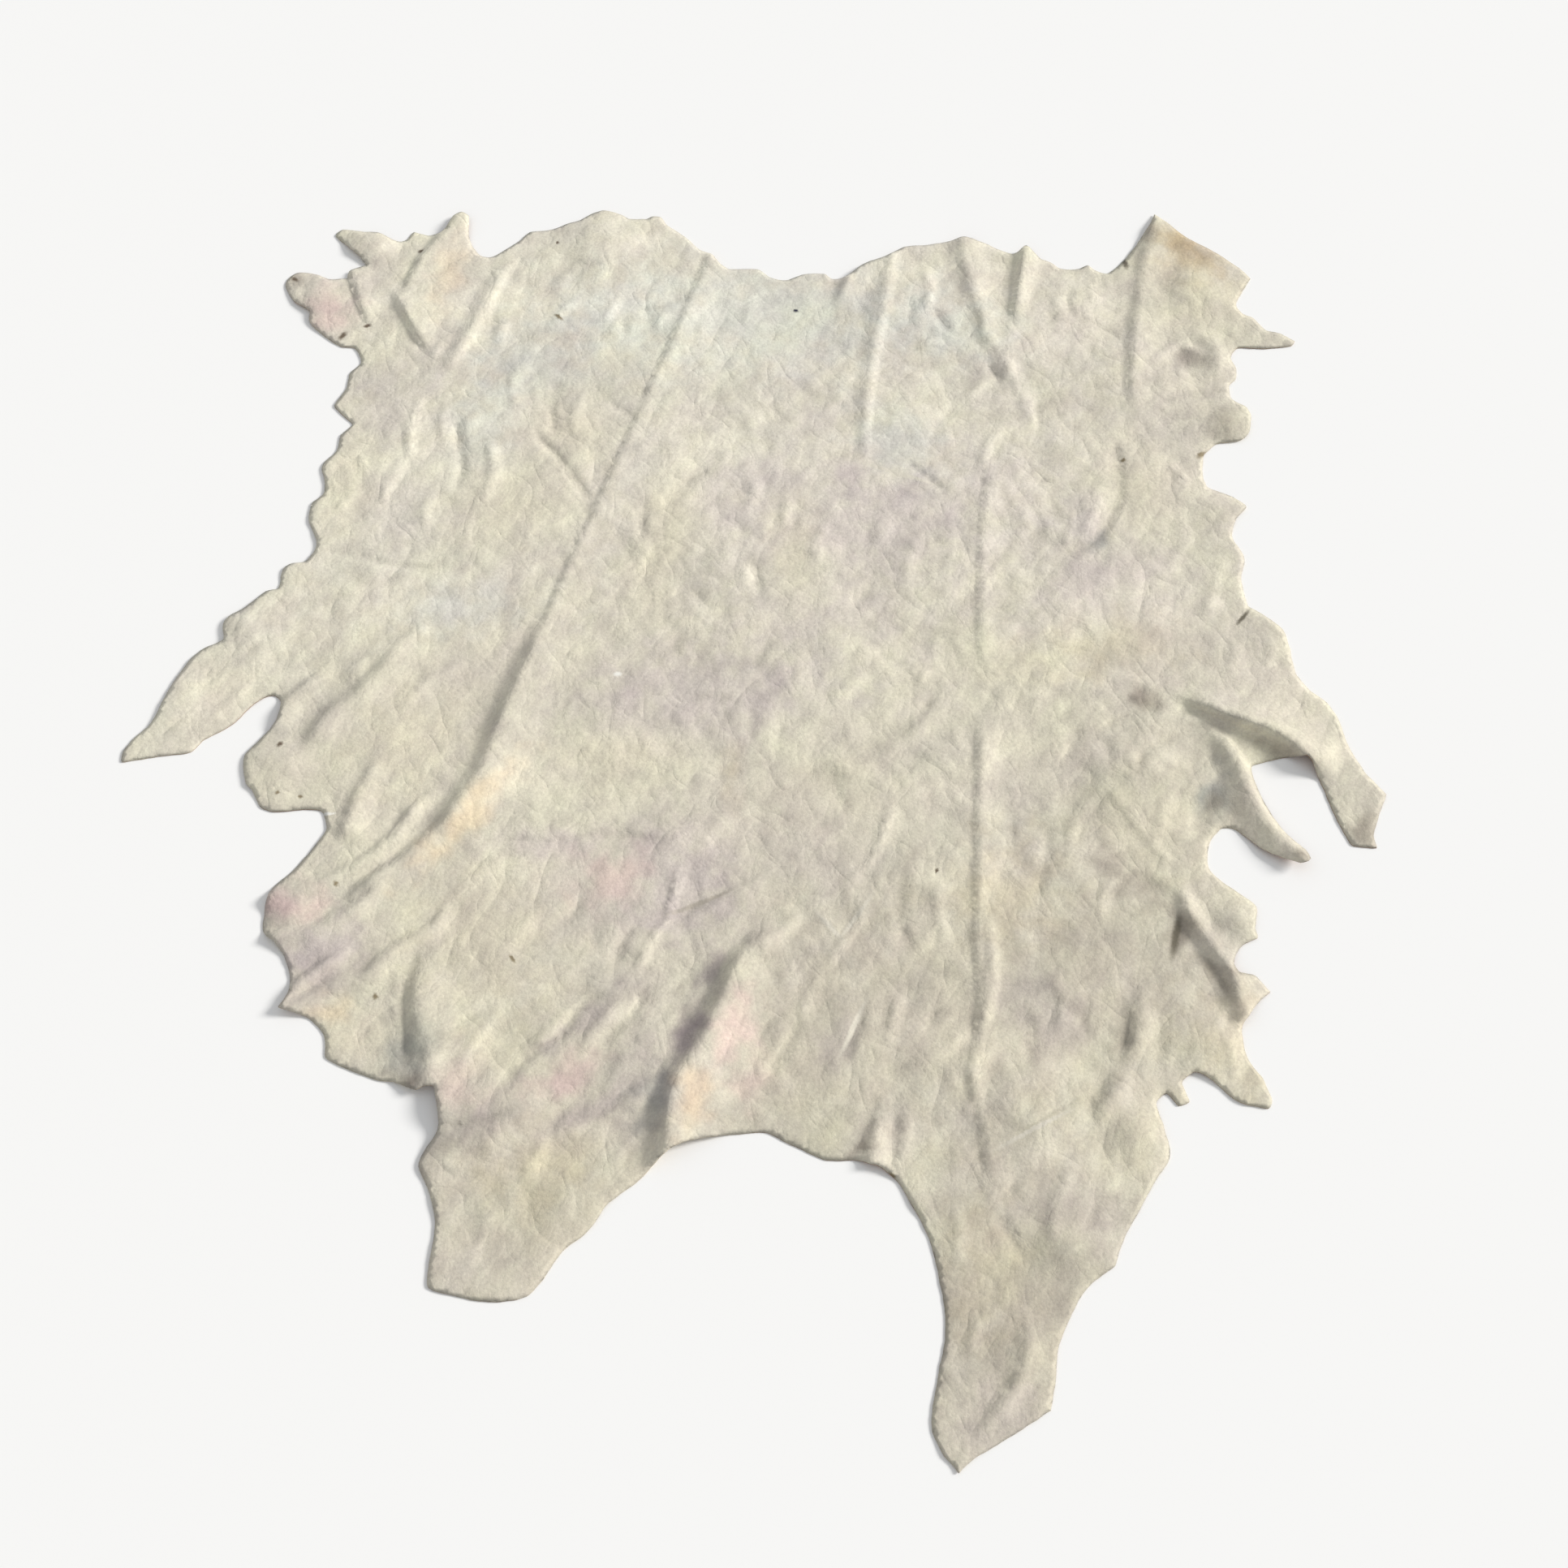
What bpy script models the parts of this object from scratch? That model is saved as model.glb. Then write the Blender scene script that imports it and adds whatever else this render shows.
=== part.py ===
"""A whole cowhide rug, spread on the floor with its leather side up, as one thin sheet with its folds.

Run it with blender --background --python part.py, or from Blender's text editor.
Metres, +Z up. The floor is z = 0, the neck points along +Y, and the origin is under the middle of the hide.
The tables below are in centimetres, as read at floor level from the usual viewing side, which is -Y.
"""
import math

import bpy
import numpy as np
from mathutils.geometry import delaunay_2d_cdt

# Driving sizes, in metres
CM = 0.01
THICKNESS = 0.003

# How far apart the mesh's points are, in metres: steps along a line, and gaps kept to points already set
EDGE_STEP = 0.026
CREST_STEP = 0.026
FIELD_STEP = 0.046
CREST_EDGE_GAP = 0.011
CREST_GAP = 0.008
SLOPE_GAP = 0.016
FIELD_EDGE_GAP = 0.022
FIELD_GAP = 0.027
MERGE_GAP = 1e-6

# The least distance from a line that is divided by, in metres
LEAST_APART = 1e-9

# The triangulation's choice that keeps only the triangles within the edge
ONLY_INSIDE = 1

# The share of a fold's gentle side at which it has its second row of points
HALF_WAY = 0.5

# The tables' places are read along a line of sight 60 degrees below level, so a raised point
# stands nearer the viewer than where it is read, by this share of its height.
SIGHT_ANGLE = math.radians(60)
FOLD_LEAN = 1 / math.tan(SIGHT_ANGLE)

LEATHER_COLOUR = (0.70, 0.66, 0.54, 1.0)
LEATHER_ROUGHNESS = 0.85

# How the edge turns at a point
ROUND = 1.0
SOFT = 0.6
SHARP = 0.0

# The edge, clockwise from the notch beside the left cheek. Columns: x, y, turn.
NECK_EDGE = (
    (-50.6, 103.5, ROUND), (-48.6, 103.0, ROUND), (-46.2, 104.7, ROUND), (-43.4, 107.2, SOFT),
    (-41.8, 109.2, SOFT), (-37.8, 109.9, ROUND), (-34.6, 111.5, ROUND), (-32.6, 112.2, SOFT),
    (-30.2, 114.0, SOFT), (-28.4, 114.7, ROUND), (-25.0, 113.5, SOFT), (-23.6, 112.5, SOFT),
    (-20.4, 112.5, SOFT), (-19.2, 113.2, SOFT), (-17.7, 113.0, SOFT), (-16.4, 111.0, SOFT),
    (-13.4, 108.4, SOFT), (-10.2, 104.8, SOFT), (-8.2, 103.8, SOFT), (-6.4, 101.3, ROUND),
    (-4.8, 100.1, SOFT), (0.4, 100.1, SOFT), (2.6, 98.2, SOFT), (5.4, 97.4, ROUND),
    (8.4, 98.8, SOFT), (12.6, 99.0, SOFT), (14.0, 97.7, SOFT), (16.4, 98.2, ROUND),
    (20.0, 101.5, ROUND), (24.2, 103.4, ROUND), (27.3, 105.6, SOFT), (32.2, 106.2, ROUND),
    (36.2, 107.1, ROUND), (38.2, 107.8, ROUND), (41.8, 106.6, ROUND), (45.4, 104.6, ROUND),
    (47.0, 103.9, SOFT), (48.4, 104.5, SOFT), (49.6, 105.6, SOFT), (52.2, 102.6, SOFT),
    (54.0, 101.8, ROUND), (55.7, 100.3, ROUND), (58.6, 100.1, ROUND), (60.8, 101.1, SOFT),
    (62.2, 99.7, ROUND), (64.2, 99.1, ROUND),
)
RIGHT_CHEEK_EDGE = (
    (66.8, 101.4, SOFT), (70.0, 105.9, SOFT), (73.0, 111.3, SOFT), (74.0, 113.8, SHARP),
    (79.3, 108.1, SOFT), (84.5, 104.2, SOFT), (89.2, 99.4, SOFT), (90.1, 97.8, SHARP),
    (88.4, 94.7, SOFT), (86.9, 91.6, ROUND), (87.7, 89.5, SOFT), (89.6, 88.4, SOFT),
    (91.6, 85.5, SOFT), (94.2, 84.7, SOFT), (96.5, 82.9, SHARP), (95.8, 81.9, SOFT),
    (91.0, 81.2, SOFT), (86.2, 81.4, SOFT), (84.6, 79.2, ROUND), (85.4, 76.2, ROUND),
    (85.0, 74.2, SOFT), (83.7, 72.6, SOFT),
)
RIGHT_SHOULDER_EDGE = (
    (83.7, 69.8, SOFT), (86.3, 67.6, SOFT), (86.8, 66.0, SOFT), (86.1, 62.2, SOFT),
    (84.5, 60.4, SOFT), (80.4, 59.7, SOFT), (77.8, 57.2, SOFT), (77.2, 52.8, ROUND),
    (77.8, 50.2, SOFT), (81.8, 48.0, SOFT), (83.9, 46.1, SOFT), (81.8, 43.4, SOFT),
    (80.9, 39.6, ROUND), (82.4, 35.6, ROUND), (81.5, 30.5, ROUND), (82.0, 25.6, SOFT),
    (83.3, 24.6, SOFT),
)
RIGHT_FORE_SHANK_EDGE = (
    (87.3, 20.9, SOFT), (88.0, 16.6, ROUND), (88.4, 12.4, ROUND), (90.4, 8.8, SOFT),
    (92.7, 6.6, ROUND), (94.2, 3.2, ROUND), (95.2, -1.8, ROUND), (97.3, -6.6, SOFT),
    (100.0, -10.4, SHARP), (98.5, -13.8, SOFT), (97.0, -17.8, SOFT), (97.2, -19.9, SHARP),
    (93.5, -19.5, SOFT), (91.8, -15.4, ROUND), (90.0, -8.5, ROUND), (88.5, -4.3, SOFT),
    (87.6, -3.2, SOFT), (79.4, -5.3, SOFT),
)
ELBOW_STRIP_EDGE = (
    (79.9, -9.9, ROUND), (82.6, -16.5, ROUND), (85.8, -20.4, SOFT), (86.2, -21.8, SOFT),
    (84.6, -22.4, SOFT), (79.6, -20.3, ROUND), (77.1, -18.0, ROUND), (75.2, -16.5, SOFT),
    (73.4, -16.5, SOFT), (71.2, -19.4, ROUND), (71.0, -24.0, ROUND),
)
RIGHT_FLANK_EDGE = (
    (74.4, -27.4, SOFT), (77.3, -30.1, SOFT), (76.7, -33.8, SOFT), (77.0, -35.4, SOFT),
    (74.3, -36.9, ROUND), (72.7, -39.6, SOFT), (73.4, -41.0, SOFT), (75.8, -41.7, SOFT),
    (77.9, -44.4, SHARP), (75.0, -46.9, SOFT), (73.1, -49.8, ROUND), (73.3, -54.6, ROUND),
    (75.4, -58.6, SOFT), (76.3, -61.8, SOFT), (75.6, -62.9, SOFT), (71.4, -61.9, SOFT),
    (69.4, -60.2, SOFT), (66.8, -57.6, ROUND), (65.2, -57.2, SOFT), (63.4, -58.9, SOFT),
    (64.2, -61.9, SOFT), (62.6, -62.5, SOFT), (61.0, -60.6, SOFT), (59.3, -62.0, SOFT),
)
RIGHT_HIND_SHANK_EDGE = (
    (60.1, -66.0, ROUND), (60.6, -70.2, ROUND), (58.4, -73.6, SOFT), (55.6, -78.2, ROUND),
    (52.6, -83.4, ROUND), (51.5, -86.4, SOFT), (48.2, -88.7, ROUND), (45.6, -92.2, ROUND),
    (43.0, -97.4, ROUND), (42.3, -101.6, ROUND), (41.3, -106.4, SHARP), (35.8, -109.8, SOFT),
    (30.6, -112.8, SOFT), (28.5, -114.6, SHARP), (26.4, -112.0, SOFT), (25.2, -109.2, ROUND),
    (25.3, -106.2, ROUND), (26.2, -102.0, ROUND), (27.5, -95.2, ROUND), (27.0, -89.4, ROUND),
    (25.6, -82.4, ROUND), (22.6, -76.0, ROUND), (21.3, -73.8, SOFT),
)
TAIL_ARCH_EDGE = (
    (18.6, -71.5, SOFT), (16.6, -70.9, SOFT), (11.3, -70.8, SOFT), (6.8, -68.8, ROUND),
    (2.4, -66.6, SOFT), (-1.3, -66.9, SOFT), (-8.3, -67.5, ROUND), (-11.2, -68.7, SOFT),
)
LEFT_HIND_SHANK_EDGE = (
    (-13.4, -71.2, ROUND), (-15.3, -73.6, ROUND), (-19.9, -77.4, SOFT), (-22.6, -81.4, ROUND),
    (-25.9, -84.2, SOFT), (-28.8, -88.8, ROUND), (-30.6, -90.7, SOFT), (-34.7, -91.5, ROUND),
    (-40.0, -90.8, ROUND), (-44.3, -89.5, SOFT), (-44.6, -87.6, ROUND), (-44.1, -80.2, ROUND),
    (-45.2, -76.0, ROUND), (-47.1, -71.2, ROUND), (-44.8, -66.0, ROUND), (-45.0, -62.2, ROUND),
    (-45.8, -59.2, SOFT),
)
LEFT_FLANK_EDGE = (
    (-47.2, -59.2, SOFT), (-48.4, -59.8, SOFT), (-52.0, -58.7, SOFT), (-53.8, -58.7, SOFT),
    (-58.8, -56.8, ROUND), (-62.2, -55.0, SOFT), (-62.8, -51.6, SOFT), (-65.4, -48.7, ROUND),
    (-69.9, -46.7, SHARP), (-68.7, -43.8, SOFT), (-69.6, -39.8, ROUND), (-71.8, -36.0, SOFT),
    (-73.9, -34.2, SOFT), (-74.0, -30.4, ROUND), (-73.4, -27.0, SOFT), (-70.6, -24.0, ROUND),
    (-67.4, -19.2, ROUND), (-66.1, -16.6, SOFT), (-67.2, -13.5, SOFT), (-69.2, -13.1, ROUND),
    (-74.6, -13.5, SOFT), (-76.9, -12.7, SOFT), (-78.6, -9.5, SOFT), (-79.7, -8.4, SOFT),
    (-80.5, -3.4, ROUND), (-78.4, -0.3, ROUND), (-76.2, 3.4, ROUND),
)
LEFT_FORE_SHANK_EDGE = (
    (-75.8, 6.8, SOFT), (-77.6, 8.1, ROUND), (-80.2, 6.4, ROUND), (-83.4, 2.4, SOFT),
    (-87.6, -0.5, SOFT), (-89.2, -2.6, SOFT), (-94.4, -3.4, SOFT), (-99.9, -4.4, SOFT),
    (-100.0, -2.4, SOFT), (-98.6, 0.0, SOFT), (-96.2, 3.0, ROUND), (-94.6, 8.4, ROUND),
    (-92.4, 13.6, ROUND), (-90.2, 16.8, ROUND), (-86.7, 18.9, SOFT), (-87.0, 22.6, ROUND),
    (-83.8, 25.4, ROUND), (-81.0, 28.5, SOFT), (-79.0, 29.1, SOFT), (-78.6, 33.1, SOFT),
    (-77.2, 34.2, SOFT), (-75.0, 34.6, SOFT),
)
LEFT_SHOULDER_EDGE = (
    (-73.5, 38.2, ROUND), (-75.4, 43.2, ROUND), (-75.2, 46.8, SOFT), (-73.4, 48.8, SOFT),
    (-73.6, 51.6, ROUND), (-74.4, 54.8, ROUND), (-72.2, 58.2, ROUND), (-71.9, 61.6, SOFT),
    (-70.1, 64.0, SOFT), (-73.7, 68.0, SOFT), (-71.9, 72.2, ROUND), (-71.8, 75.4, SOFT),
    (-70.0, 78.0, ROUND), (-71.4, 81.4, SOFT),
)
LEFT_CHEEK_EDGE = (
    (-73.8, 81.7, SOFT), (-77.2, 84.2, ROUND), (-80.0, 87.4, ROUND), (-80.3, 90.0, SOFT),
    (-83.4, 92.4, ROUND), (-85.5, 96.6, ROUND), (-83.8, 99.1, ROUND), (-80.6, 98.9, ROUND),
    (-77.6, 97.6, SOFT), (-74.3, 97.8, SHARP), (-74.1, 99.6, SOFT), (-71.1, 101.0, SHARP),
    (-73.0, 103.8, SOFT), (-77.6, 108.4, SOFT), (-76.4, 109.9, SOFT), (-72.2, 109.2, SOFT),
    (-69.6, 109.0, SOFT), (-66.0, 106.9, ROUND), (-64.3, 107.4, SOFT), (-63.2, 109.3, SOFT),
    (-60.4, 108.4, ROUND), (-57.6, 109.5, SOFT), (-56.2, 112.9, SOFT), (-54.7, 114.1, SOFT),
    (-53.2, 112.9, SOFT), (-52.8, 107.6, ROUND),
)
EDGE_STRETCHES = (
    NECK_EDGE, RIGHT_CHEEK_EDGE, RIGHT_SHOULDER_EDGE, RIGHT_FORE_SHANK_EDGE, ELBOW_STRIP_EDGE,
    RIGHT_FLANK_EDGE, RIGHT_HIND_SHANK_EDGE, TAIL_ARCH_EDGE, LEFT_HIND_SHANK_EDGE,
    LEFT_FLANK_EDGE, LEFT_FORE_SHANK_EDGE, LEFT_SHOULDER_EDGE, LEFT_CHEEK_EDGE,
)

# Where a fold dies away along its crest
BOTH_ENDS = (True, True)
FAR_END = (False, True)
NEAR_END = (True, False)

# The main folds, each a crest with a steep side and a gentle one. Columns: name, points of the crest,
# height, run to its left and to its right as the crest is walked, and the ends where it dies away.
FOLDS = (
    ("left cheek spike", ((-64.0, 92.0), (-62.7, 97.1), (-61.4, 101.5), (-60.0, 104.6), (-57.4, 109.3),
      (-55.6, 112.8)),
     1.2, 1.3, 6.0, NEAR_END),
    ("left cheek groove", ((-56.6, 79.0), (-59.8, 83.7), (-62.4, 88.7), (-64.0, 92.0), (-66.9, 96.2)),
     0.9, 1.1, 5.0, BOTH_ENDS),
    ("left cheek step", ((-69.2, 84.0), (-69.6, 87.4), (-70.5, 90.2), (-71.6, 92.8), (-72.6, 95.6),
      (-73.3, 99.0)),
     0.7, 0.9, 4.0, NEAR_END),
    ("neck crease", ((-20.4, 66.0), (-16.6, 77.0), (-13.6, 86.0), (-11.2, 94.0), (-9.0, 101.0),
      (-7.6, 106.0)),
     0.6, 0.9, 5.0, NEAR_END),
    ("left neck ridge", ((-55.3, 74.0), (-53.0, 79.5), (-49.8, 87.0), (-47.0, 96.0), (-43.5, 104.0)),
     0.8, 3.4, 1.8, BOTH_ENDS),
    ("right neck ridge", ((19.3, 54.0), (19.6, 65.3), (21.4, 80.4), (23.2, 91.0), (25.2, 104.0)),
     0.7, 3.6, 1.6, NEAR_END),
    ("nape step", ((13.6, 89.0), (16.2, 95.5), (18.2, 102.0)), 1.0, 1.8, 5.0, NEAR_END),
    ("poll ridge", ((41.5, 80.0), (40.6, 90.0), (39.2, 97.0), (38.2, 103.0), (38.0, 110.0)),
     1.2, 3.6, 5.2, NEAR_END),
    ("poll lap", ((46.0, 86.0), (47.2, 92.5), (48.2, 98.0), (49.6, 107.0)), 1.5, 1.4, 4.6, NEAR_END),
    ("right cheek wall", ((65.6, 68.0), (66.6, 76.0), (67.9, 84.8), (69.6, 93.0), (71.0, 101.5),
      (73.2, 110.0)),
     0.9, 2.4, 6.0, NEAR_END),
    ("right cheek pocket", ((79.4, 72.5), (82.2, 77.0), (81.4, 82.5), (77.5, 85.5)),
     0.8, 4.0, 3.0, BOTH_ENDS),
    ("long crease, upper", ((-35.6, 17.0), (-30.8, 33.0), (-26.8, 45.0), (-22.6, 58.0), (-18.4, 71.0)),
     0.5, 0.9, 6.0, BOTH_ENDS),
    ("long crease", ((-50.0, -18.2), (-47.0, -14.0), (-43.8, -8.6), (-41.8, -3.4), (-39.4, 5.5),
      (-36.3, 15.0), (-33.0, 24.0)),
     1.7, 3.0, 9.0, BOTH_ENDS),
    ("long crease, lower", ((-62.5, -29.4), (-59.6, -26.6), (-55.2, -23.0), (-51.6, -19.8), (-47.2, -14.6),
      (-43.6, -8.0)),
     1.4, 1.3, 4.5, BOTH_ENDS),
    ("flank pleat, upper", ((-76.0, -28.7), (-67.2, -26.3), (-62.4, -24.0), (-58.0, -20.6),
      (-54.6, -16.6), (-52.6, -12.8), (-48.5, -8.8)),
     1.3, 1.3, 3.6, FAR_END),
    ("flank pleat, middle", ((-76.0, -36.0), (-71.0, -34.8), (-66.6, -34.0), (-62.8, -31.8),
      (-58.8, -28.8), (-56.4, -25.6), (-54.6, -21.8)),
     1.2, 1.3, 3.6, FAR_END),
    ("flank pleat, lower", ((-73.0, -49.0), (-65.0, -44.6), (-60.8, -42.6), (-57.6, -41.6),
      (-55.6, -39.2), (-51.8, -35.6), (-47.8, -33.2), (-45.8, -27.5)),
     1.2, 1.4, 4.0, FAR_END),
    ("flank tip pleat", ((-72.5, -48.0), (-68.0, -43.6), (-64.6, -40.4), (-61.6, -38.2), (-59.0, -35.6)),
     1.3, 1.5, 2.4, FAR_END),
    ("flank corner", ((-46.2, -61.0), (-46.6, -56.0), (-48.0, -50.6), (-49.3, -46.6), (-49.2, -42.6),
      (-47.9, -38.4)),
     1.9, 7.0, 13.0, FAR_END),
    ("croup fold", ((-11.6, -70.0), (-11.5, -62.4), (-10.6, -58.4), (-8.6, -54.8), (-5.6, -49.0),
      (-3.4, -43.4), (-1.4, -38.6), (1.8, -35.4), (7.0, -33.4)),
     2.3, 3.2, 9.0, FAR_END),
    ("hock pleat, upper", ((-28.8, -68.6), (-26.4, -64.6), (-24.2, -62.6), (-21.0, -61.4), (-17.0, -58.8)),
     0.8, 1.6, 3.4, BOTH_ENDS),
    ("hock pleat, lower", ((-22.6, -66.0), (-19.4, -62.6), (-16.2, -60.6), (-13.4, -58.8), (-11.4, -56.4)),
     0.9, 1.6, 3.4, BOTH_ENDS),
    ("loin crease", ((-14.0, -33.5), (-5.0, -29.0), (4.0, -24.5)), 0.6, 1.3, 4.5, BOTH_ENDS),
    ("rib trough edge", ((10.0, -7.0), (18.0, -3.4), (24.0, 1.2), (29.0, 7.0)),
     1.0, 2.6, 5.0, BOTH_ENDS),
    ("right side line, lower", ((34.6, -76.0), (34.0, -66.0), (33.0, -57.0), (34.6, -47.0),
      (34.4, -37.0), (35.2, -24.0), (35.8, -11.0), (37.0, 6.0)),
     0.55, 1.2, 4.5, BOTH_ENDS),
    ("right side line, upper", ((37.2, 12.0), (38.0, 30.0), (38.8, 42.0), (41.0, 58.0)),
     0.4, 0.9, 4.0, BOTH_ENDS),
    ("left elbow", ((-76.6, 4.5), (-71.6, 10.3), (-67.5, 15.5)), 1.2, 2.0, 5.0, FAR_END),
    ("left brisket", ((-72.0, -4.0), (-68.2, 3.8), (-63.5, 8.5), (-59.5, 14.0), (-55.5, 20.0)),
     1.2, 2.6, 6.0, BOTH_ENDS),
    ("left girth", ((-63.0, -16.0), (-61.0, -8.5), (-58.0, -2.0)), 0.9, 1.8, 4.0, FAR_END),
    ("right elbow lip", ((68.0, 8.0), (74.0, 5.5), (78.0, 3.7), (82.2, 1.9), (85.8, -0.9), (88.2, -3.9)),
     2.6, 6.0, 2.4, NEAR_END),
    ("elbow strip curl", ((86.5, -22.5), (81.6, -17.4), (78.6, -11.0), (77.3, -5.0), (75.2, -0.6),
      (71.6, 2.6)),
     2.1, 5.4, 2.6, FAR_END),
    ("right flank lap", ((73.2, -47.5), (72.2, -41.0), (69.4, -36.0), (66.8, -31.0), (65.8, -24.0)),
     1.5, 2.6, 3.4, FAR_END),
    ("right flank pocket", ((54.2, -56.5), (57.0, -51.5), (58.0, -47.0), (61.5, -42.5)),
     0.9, 2.6, 4.0, BOTH_ENDS),
    ("right stifle", ((48.5, -68.0), (52.8, -61.0), (57.5, -56.0)), 1.1, 3.4, 5.0, BOTH_ENDS),
    ("right shank twist", ((30.0, -111.0), (35.6, -104.4), (38.2, -99.0), (38.8, -92.0)),
     1.0, 3.0, 3.0, BOTH_ENDS),
    ("tail arch tuck", ((17.4, -73.0), (18.2, -68.0), (19.6, -62.0)), 1.2, 3.0, 3.4, FAR_END),
)

# How crisp a fold's crest is on its steep side and on its gentle one, from 0 for a wave to 1, the length
# over which it dies away, in centimetres, and the most of the fold that this may be
STEEP_CRISPNESS = 0.8
GENTLE_CRISPNESS = 0.5
FOLD_FADE = 7.0
MOST_FADE = 0.5

# A fold that dies at one end fans out towards the other, where the hide's edge is. These are the factors
# of its runs where it dies and where it is open, and of its height where it dies.
NARROW_RUN = 0.55
WIDE_RUN = 1.3
LOW_END = 0.7

# Broad soft swells. Columns: name, x, y, radius, height.
SWELLS = (
    ("poll", -28, 106, 13, 0.9),
    ("right poll", 57, 92, 10, 0.8),
    ("right cheek", 81, 96, 10, 0.9),
    ("right cheek lobe", 83, 64, 6, 0.5),
    ("right shoulder lobe", 79, 45, 7, 0.7),
    ("left cheek lobe", -79, 92, 8, 0.7),
    ("left cheek flap", -71, 106, 7, 1.0),
    ("left shoulder", -82, 21, 9, 0.8),
    ("left brisket lobe", -76, -5, 8, 0.9),
    ("left flank lobe", -70, -31, 6, 1.0),
    ("left thigh", -37, -63, 11, 1.3),
    ("left hock", -25, -76, 8, 0.8),
    ("belly", 61, -9, 13, 1.2),
    ("right flank lobe", 74, -32, 5, 0.8),
    ("right flank flap", 67, -52, 8, 0.9),
    ("right stifle", 56, -66, 7, 1.0),
    ("right thigh", 42, -63, 12, 1.1),
    ("right hock", 46, -82, 8, 0.9),
)


def clear_scene():
    for thing in list(bpy.data.objects):
        bpy.data.objects.remove(thing, do_unlink=True)


def curve_piece(start, end, start_slope, end_slope, t):
    """The point at share t of the way along a cubic from start to end with the given slopes."""
    return ((2 * t**3 - 3 * t**2 + 1) * start + (t**3 - 2 * t**2 + t) * start_slope
            + (3 * t**2 - 2 * t**3) * end + (t**3 - t**2) * end_slope)


def curve_through(points, turns, closed, step):
    """Points along a smooth curve through the given ones, each of which it passes through exactly."""
    points = np.array(points, float)
    count = len(points)
    before = np.roll(points, 1, axis=0)
    after = np.roll(points, -1, axis=0)
    if not closed:
        before[0] = points[0]
        after[-1] = points[-1]
    reach = np.linalg.norm(after - points, axis=1) + np.linalg.norm(points - before, axis=1)
    slopes = (after - before) / reach[:, None] * np.array(turns, float)[:, None]
    line = []
    for i in range(count if closed else count - 1):
        j = (i + 1) % count
        length = np.linalg.norm(points[j] - points[i])
        pieces = max(1, math.ceil(length / step))
        for t in np.arange(pieces) / pieces:
            line.append(curve_piece(points[i], points[j], length * slopes[i], length * slopes[j], t))
    if not closed:
        line.append(points[-1])
    return np.array(line)


def edge_line():
    """The hide's edge as a closed line of points, in metres."""
    rows = [row for stretch in EDGE_STRETCHES for row in stretch]
    places = [(x * CM, y * CM) for x, y, _ in rows]
    turns = [turn for _, _, turn in rows]
    return curve_through(places, turns, True, EDGE_STEP)


def crest_line(crest):
    return curve_through(np.array(crest) * CM, [ROUND] * len(crest), False, CREST_STEP)


def along_and_beside(places, line):
    """Each place's share of the way along the line, its distance from it, and how far it lies to the left.

    The last is 1 beside the line on its left, 0 on its right, and passes smoothly between them at its ends.
    """
    start = line[:-1]
    span = line[1:] - start
    length = np.linalg.norm(span, axis=1)
    passed = np.concatenate([[0], np.cumsum(length)])
    offset = places[:, None, :] - start[None]
    share = np.clip((offset * span).sum(2) / length**2, 0, 1)
    distance = np.linalg.norm(offset - share[..., None] * span, axis=2)
    nearest = distance.argmin(axis=1)
    rows = np.arange(len(places))
    turn = span[nearest, 0] * offset[rows, nearest, 1] - span[nearest, 1] * offset[rows, nearest, 0]
    way = (passed[nearest] + share[rows, nearest] * length[nearest]) / passed[-1]
    least = np.maximum(distance[rows, nearest], LEAST_APART)
    to_left = 0.5 + 0.5 * np.clip(turn / (length[nearest] * least), -1, 1)
    return way, least, to_left


def falling(share):
    """1 at share 0, falling smoothly to 0 at share 1 and beyond."""
    return 0.5 + 0.5 * np.cos(np.pi * np.clip(share, 0, 1))


def flank(share, crispness):
    """A fold's side, from its crest at share 0 to its foot at share 1, rounder or crisper at the crest."""
    return (1 - crispness) * falling(share) + crispness * (1 - np.clip(share, 0, 1)) ** 2


def fanned(way, dies):
    """The factors of a fold's runs and of its height at each share of the way along its crest."""
    opened = {FAR_END: 1 - way, NEAR_END: way}.get(dies)
    if opened is None:
        return np.ones(len(way)), np.ones(len(way))
    return NARROW_RUN + (WIDE_RUN - NARROW_RUN) * opened, LOW_END + (1 - LOW_END) * opened


def fold_height(places, crest, height, left_run, right_run, dies):
    """The height of one fold over the floor at each place."""
    line = crest_line(crest)
    way, apart, to_left = along_and_beside(places, line)
    wider, higher = fanned(way, dies)
    run = wider * (right_run + (left_run - right_run) * to_left) * CM
    steep = to_left if left_run <= right_run else 1 - to_left
    crispness = GENTLE_CRISPNESS + (STEEP_CRISPNESS - GENTLE_CRISPNESS) * steep
    strength = higher * flank(apart / run, crispness)
    length = np.linalg.norm(np.diff(line, axis=0), axis=1).sum()
    fade_share = min(FOLD_FADE * CM / length, MOST_FADE)
    for from_end, dying in zip((way, 1 - way), dies):
        if dying:
            strength *= 1 - falling(from_end / fade_share)
    return height * CM * strength


def sheet_height(places):
    """The height of the underside at each place, from folds and swells together. It is 0 on the floor."""
    together = np.zeros(len(places))
    for _, crest, height, left_run, right_run, dies in FOLDS:
        together += fold_height(places, crest, height, left_run, right_run, dies) ** 2
    for _, x, y, radius, height in SWELLS:
        distance = np.linalg.norm(places - np.array((x, y)) * CM, axis=1)
        together += (height * CM * falling(distance / (radius * CM))) ** 2
    return np.sqrt(together)


def inside(places, edge):
    """Whether each place lies within the closed edge line."""
    ends = np.roll(edge, -1, axis=0)
    crosses = (edge[None, :, 1] > places[:, None, 1]) != (ends[None, :, 1] > places[:, None, 1])
    rise = np.where(ends[:, 1] == edge[:, 1], 1, ends[:, 1] - edge[:, 1])
    at_x = edge[:, 0] + (places[:, None, 1] - edge[:, 1]) / rise * (ends[:, 0] - edge[:, 0])
    return (crosses & (places[:, None, 0] < at_x)).sum(axis=1) % 2 == 1


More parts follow.
